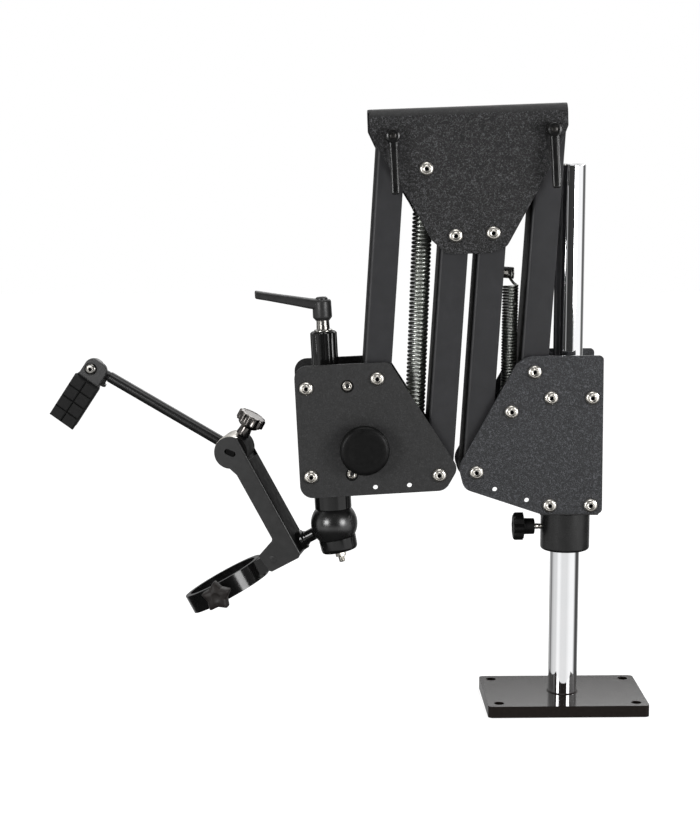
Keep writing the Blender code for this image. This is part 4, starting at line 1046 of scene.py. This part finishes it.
def paddle():
    """Grip paddle: a clevis plate on the rod end with a ribbed rubber pad."""
    outline = rounded([(-12.4, 13.5, 9), (-12.4, -7.0, 4), (-14.4, -12.0, 3), (-14.4, -62.0, 5),
                       (14.4, -62.0, 5), (14.4, -12.0, 3), (12.4, -7.0, 4), (12.4, 13.5, 9)], 10)
    base = PADDLE @ move(3.8, -8.5, -1.9)
    piece('paddle_plate', slab(outline, -2.0, 2.0, [circle(-3.8, 1.9, 3.3)]), base, SATIN, 0.6)
    top = rounded([(-12.2, 13.3, 9), (-12.0, -9.2, 1), (12.0, -9.2, 1), (12.2, 13.3, 9)], 10)
    piece('paddle_plate', slab(top, -3.4, -1.9, [circle(-3.8, 1.9, 6.4)]), base, SATIN, 0.5,
          tag='boss')

    cols, rows_n = 48, 84
    x0, x1, z0, z1 = -14.5, 14.5, -62.3, -10.4
    bm = bmesh.new()

    def height(u, v):
        """Raised blocks in two columns and four rows, with a plain rim."""
        fx = abs((u * 2.0) % 1.0 - 0.5) * 2.0
        fz = abs((v * 4.0) % 1.0 - 0.5) * 2.0
        block = min(1.0, max(0.0, (1.0 - max(fx, fz)) * 6.5))
        edge = min(1.0, min(u, 1 - u) * 30, min(v, 1 - v) * 45)
        return -7.2 - 1.7 * block * edge * (2 - block) + 1.2 * (1 - edge) ** 2

    grid = []
    for j in range(rows_n + 1):
        v = j / rows_n
        line = []
        for i in range(cols + 1):
            u = i / cols
            line.append((bm.verts.new((x0 + (x1 - x0) * u, height(u, v), z0 + (z1 - z0) * v)),
                         bm.verts.new((x0 + (x1 - x0) * u, -2.3, z0 + (z1 - z0) * v))))
        grid.append(line)
    for j in range(rows_n):
        for i in range(cols):
            for k in (0, 1):
                bm.faces.new((grid[j][i][k], grid[j][i + 1][k], grid[j + 1][i + 1][k],
                              grid[j + 1][i][k]))
    rim = [grid[0][i] for i in range(cols)] + [grid[j][cols] for j in range(rows_n)] + \
          [grid[rows_n][i] for i in range(cols, 0, -1)] + [grid[j][0] for j in range(rows_n, 0, -1)]
    for a, b in zip(rim, rim[1:] + rim[:1]):
        bm.faces.new((a[0], b[0], b[1], a[1]))
    piece('paddle_pad', bm, base, RUBBER, 0, angle=50)

    rows = [(12.6, hexagon(3.6)), (14.4, hexagon(3.6)), (14.4, 3.4)]
    rows += arc(14.4, 3.4, 12.2, 5.6, 'in', 5)[1:]
    rows += [(10.8, 5.6), (10.8, 3.0), (-8.0, 3.0)]
    piece('paddle_screw', spun(rows, 48), along(PADDLE, '-Y'), DULL_STEEL, 0, angle=30)
    painted_socket_shade('paddle_screw', along(PADDLE, '-Y'), 12.7, 14.1, 0.2)


# ------------------------------------------------------ floor, light, view
def studio():
    scene = bpy.context.scene
    bm = bmesh.new()
    bmesh.ops.create_grid(bm, x_segments=8, y_segments=8, size=5.0)
    bmesh.ops.translate(bm, verts=bm.verts, vec=(0, 0, -0.0004))
    floor = add_object('floor', bm)
    mat = bpy.data.materials.new('pale_floor')
    mat.use_nodes = True
    nodes, links = mat.node_tree.nodes, mat.node_tree.links
    shader = nodes['Principled BSDF']
    put(shader, {'Base Color': rgba(0.30), 'Roughness': 0.9, 'Specular IOR Level': 0.0,
                 'Emission Color': rgba(1.0), 'Emission Strength': 0.85})
    floor.data.materials.append(mat)
    floor.visible_glossy = False

    world = bpy.data.worlds.new('studio')
    world.use_nodes = True
    scene.world = world
    nodes, links = world.node_tree.nodes, world.node_tree.links
    nodes.clear()
    out = nodes.new('ShaderNodeOutputWorld')
    where = nodes.new('ShaderNodeTexCoord').outputs['Generated']
    split = nodes.new('ShaderNodeSeparateXYZ')
    links.new(where, split.inputs[0])

    def maths(kind, a, b=None):
        node = nodes.new('ShaderNodeMath')
        node.operation = kind
        for slot, value in zip(node.inputs, (a, b)):
            if value is None:
                continue
            if isinstance(value, (int, float)):
                slot.default_value = value
            else:
                links.new(value, slot)
        return node.outputs[0]

    azimuth = maths('ARCTAN2', split.outputs['X'], maths('MULTIPLY', split.outputs['Y'], -1.0))
    turn = maths('ADD', maths('DIVIDE', azimuth, TAU), 0.5)

    def ramp(stops):
        node = nodes.new('ShaderNodeValToRGB')
        items = node.color_ramp.elements
        while len(items) < len(stops):
            items.new(0.5)
        for item, (degrees, level) in zip(items, stops):
            item.position = degrees / 360 + 0.5
            item.color = rgba(level)
        links.new(turn, node.inputs['Fac'])
        return node.outputs['Color']

    def fade(low, high, start, end):
        step = nodes.new('ShaderNodeMapRange')
        step.interpolation_type = 'SMOOTHSTEP'
        put(step, {'From Min': start, 'From Max': end})
        links.new(split.outputs['Z'], step.inputs['Value'])
        return colour_mix(world.node_tree, low, high, step.outputs['Result'])

    table = ramp([(-180, 0.3), (-150, 0.50), (-136, 0.25), (-124, 0.16), (-108, 0.55), (-88, 0.69),
                  (-70, 0.70), (-54, 0.97), (-42, 0.97), (-27, 0.78), (15, 0.77), (41, 0.98),
                  (72, 1.0), (80, 0.85), (88, 0.40), (96, 0.08), (128, 0.06), (144, 0.45),
                  (180, 0.3)])
    level = ramp([(-180, 0.22), (-160, 0.30), (-150, 0.8), (-138, 0.12), (-108, 0.12), (-100, 0.8),
                  (-72, 0.8), (-64, 0.04), (-29, 0.03), (-26.5, 0.5), (-24.5, 0.5), (-22, 0.03),
                  (27, 0.04), (37, 1.0), (97, 1.0), (106, 0.12), (136, 0.12), (146, 0.6),
                  (158, 0.6), (170, 0.16), (180, 0.14)])
    above = ramp([(-180, 1.2), (-100, 0.5), (-60, 0.10), (60, 0.10), (100, 0.5), (150, 1.4),
                  (165, 3.2), (174, 2.3), (180, 1.4)])
    sky = fade(0.02, table, -0.52, -0.36)
    sky = fade(sky, level, -0.19, -0.13)
    sky = fade(sky, above, 0.274, 0.294)
    room = nodes.new('ShaderNodeBackground')
    links.new(sky, room.inputs['Color'])
    put(room, {'Strength': 1.0})
    plain = nodes.new('ShaderNodeBackground')
    put(plain, {'Color': rgba(1.0)})
    seen = nodes.new('ShaderNodeLightPath').outputs['Is Camera Ray']
    choose = nodes.new('ShaderNodeMixShader')
    links.new(seen, choose.inputs[0])
    links.new(room.outputs[0], choose.inputs[1])
    links.new(plain.outputs[0], choose.inputs[2])
    links.new(choose.outputs[0], out.inputs['Surface'])

    aim = Vector((-0.2, 0.0, 0.33))
    for name, azim, elev, dist, size, power in (
            ('soft_left', -41, 8, 2.0, 0.62, 16), ('soft_right', 42, 8, 2.0, 0.74, 18),
            ('soft_side', 97, 21, 2.0, 0.55, 20), ('soft_top', 10, 70, 2.2, 1.2, 12)):
        data = bpy.data.lights.new(name, 'AREA')
        data.shape = 'SQUARE'
        data.size = size
        data.energy = power
        light = bpy.data.objects.new(name, data)
        scene.collection.objects.link(light)
        a, e = math.radians(azim), math.radians(elev)
        light.location = aim + Vector((math.sin(a) * math.cos(e), -math.cos(a) * math.cos(e),
                                       math.sin(e))) * dist
        light.rotation_euler = (aim - light.location).to_track_quat('-Z', 'Y').to_euler()

    data = bpy.data.cameras.new('camera')
    data.lens = 82.86
    data.sensor_width = 36.0
    data.clip_end = 50.0
    camera = bpy.data.objects.new('camera', data)
    scene.collection.objects.link(camera)
    camera.location = (-0.26807, -1.95275, 0.59550)
    camera.rotation_euler = (math.radians(90 - 8.628), 0.0, math.radians(-1.3485))
    scene.camera = camera
    scene.view_settings.view_transform = 'Standard'


base_and_post()
collar_knob()
right_head()
arms()
spring('right_spring', RIGHT_ANCHOR, RIGHT_HOOK, 8.3, 2.85, 3.0, 0, 90,
       ('low', 'right_head', 'right_inner_arm'),
       straight_shares(RIGHT_ANCHOR, RIGHT_HOOK, R_INNER, RIGHT_SPRING_TURN,
                       (0, 0.05, 0.12, 0.22, 0.36, 0.55, 0.78, 1)))
spring('left_spring', LEFT_HOOK, LEFT_ANCHOR, 10.3, 3.75, 4.1, 90, 0,
       ('high', 'saddle', 'left_inner_arm'),
       ((0, 0), (0.35, 1)))
saddle()
left_head()
spindle()
spindle_lever()
ball_joint()
bracket()
ring()
hand_grip()
paddle()
studio()
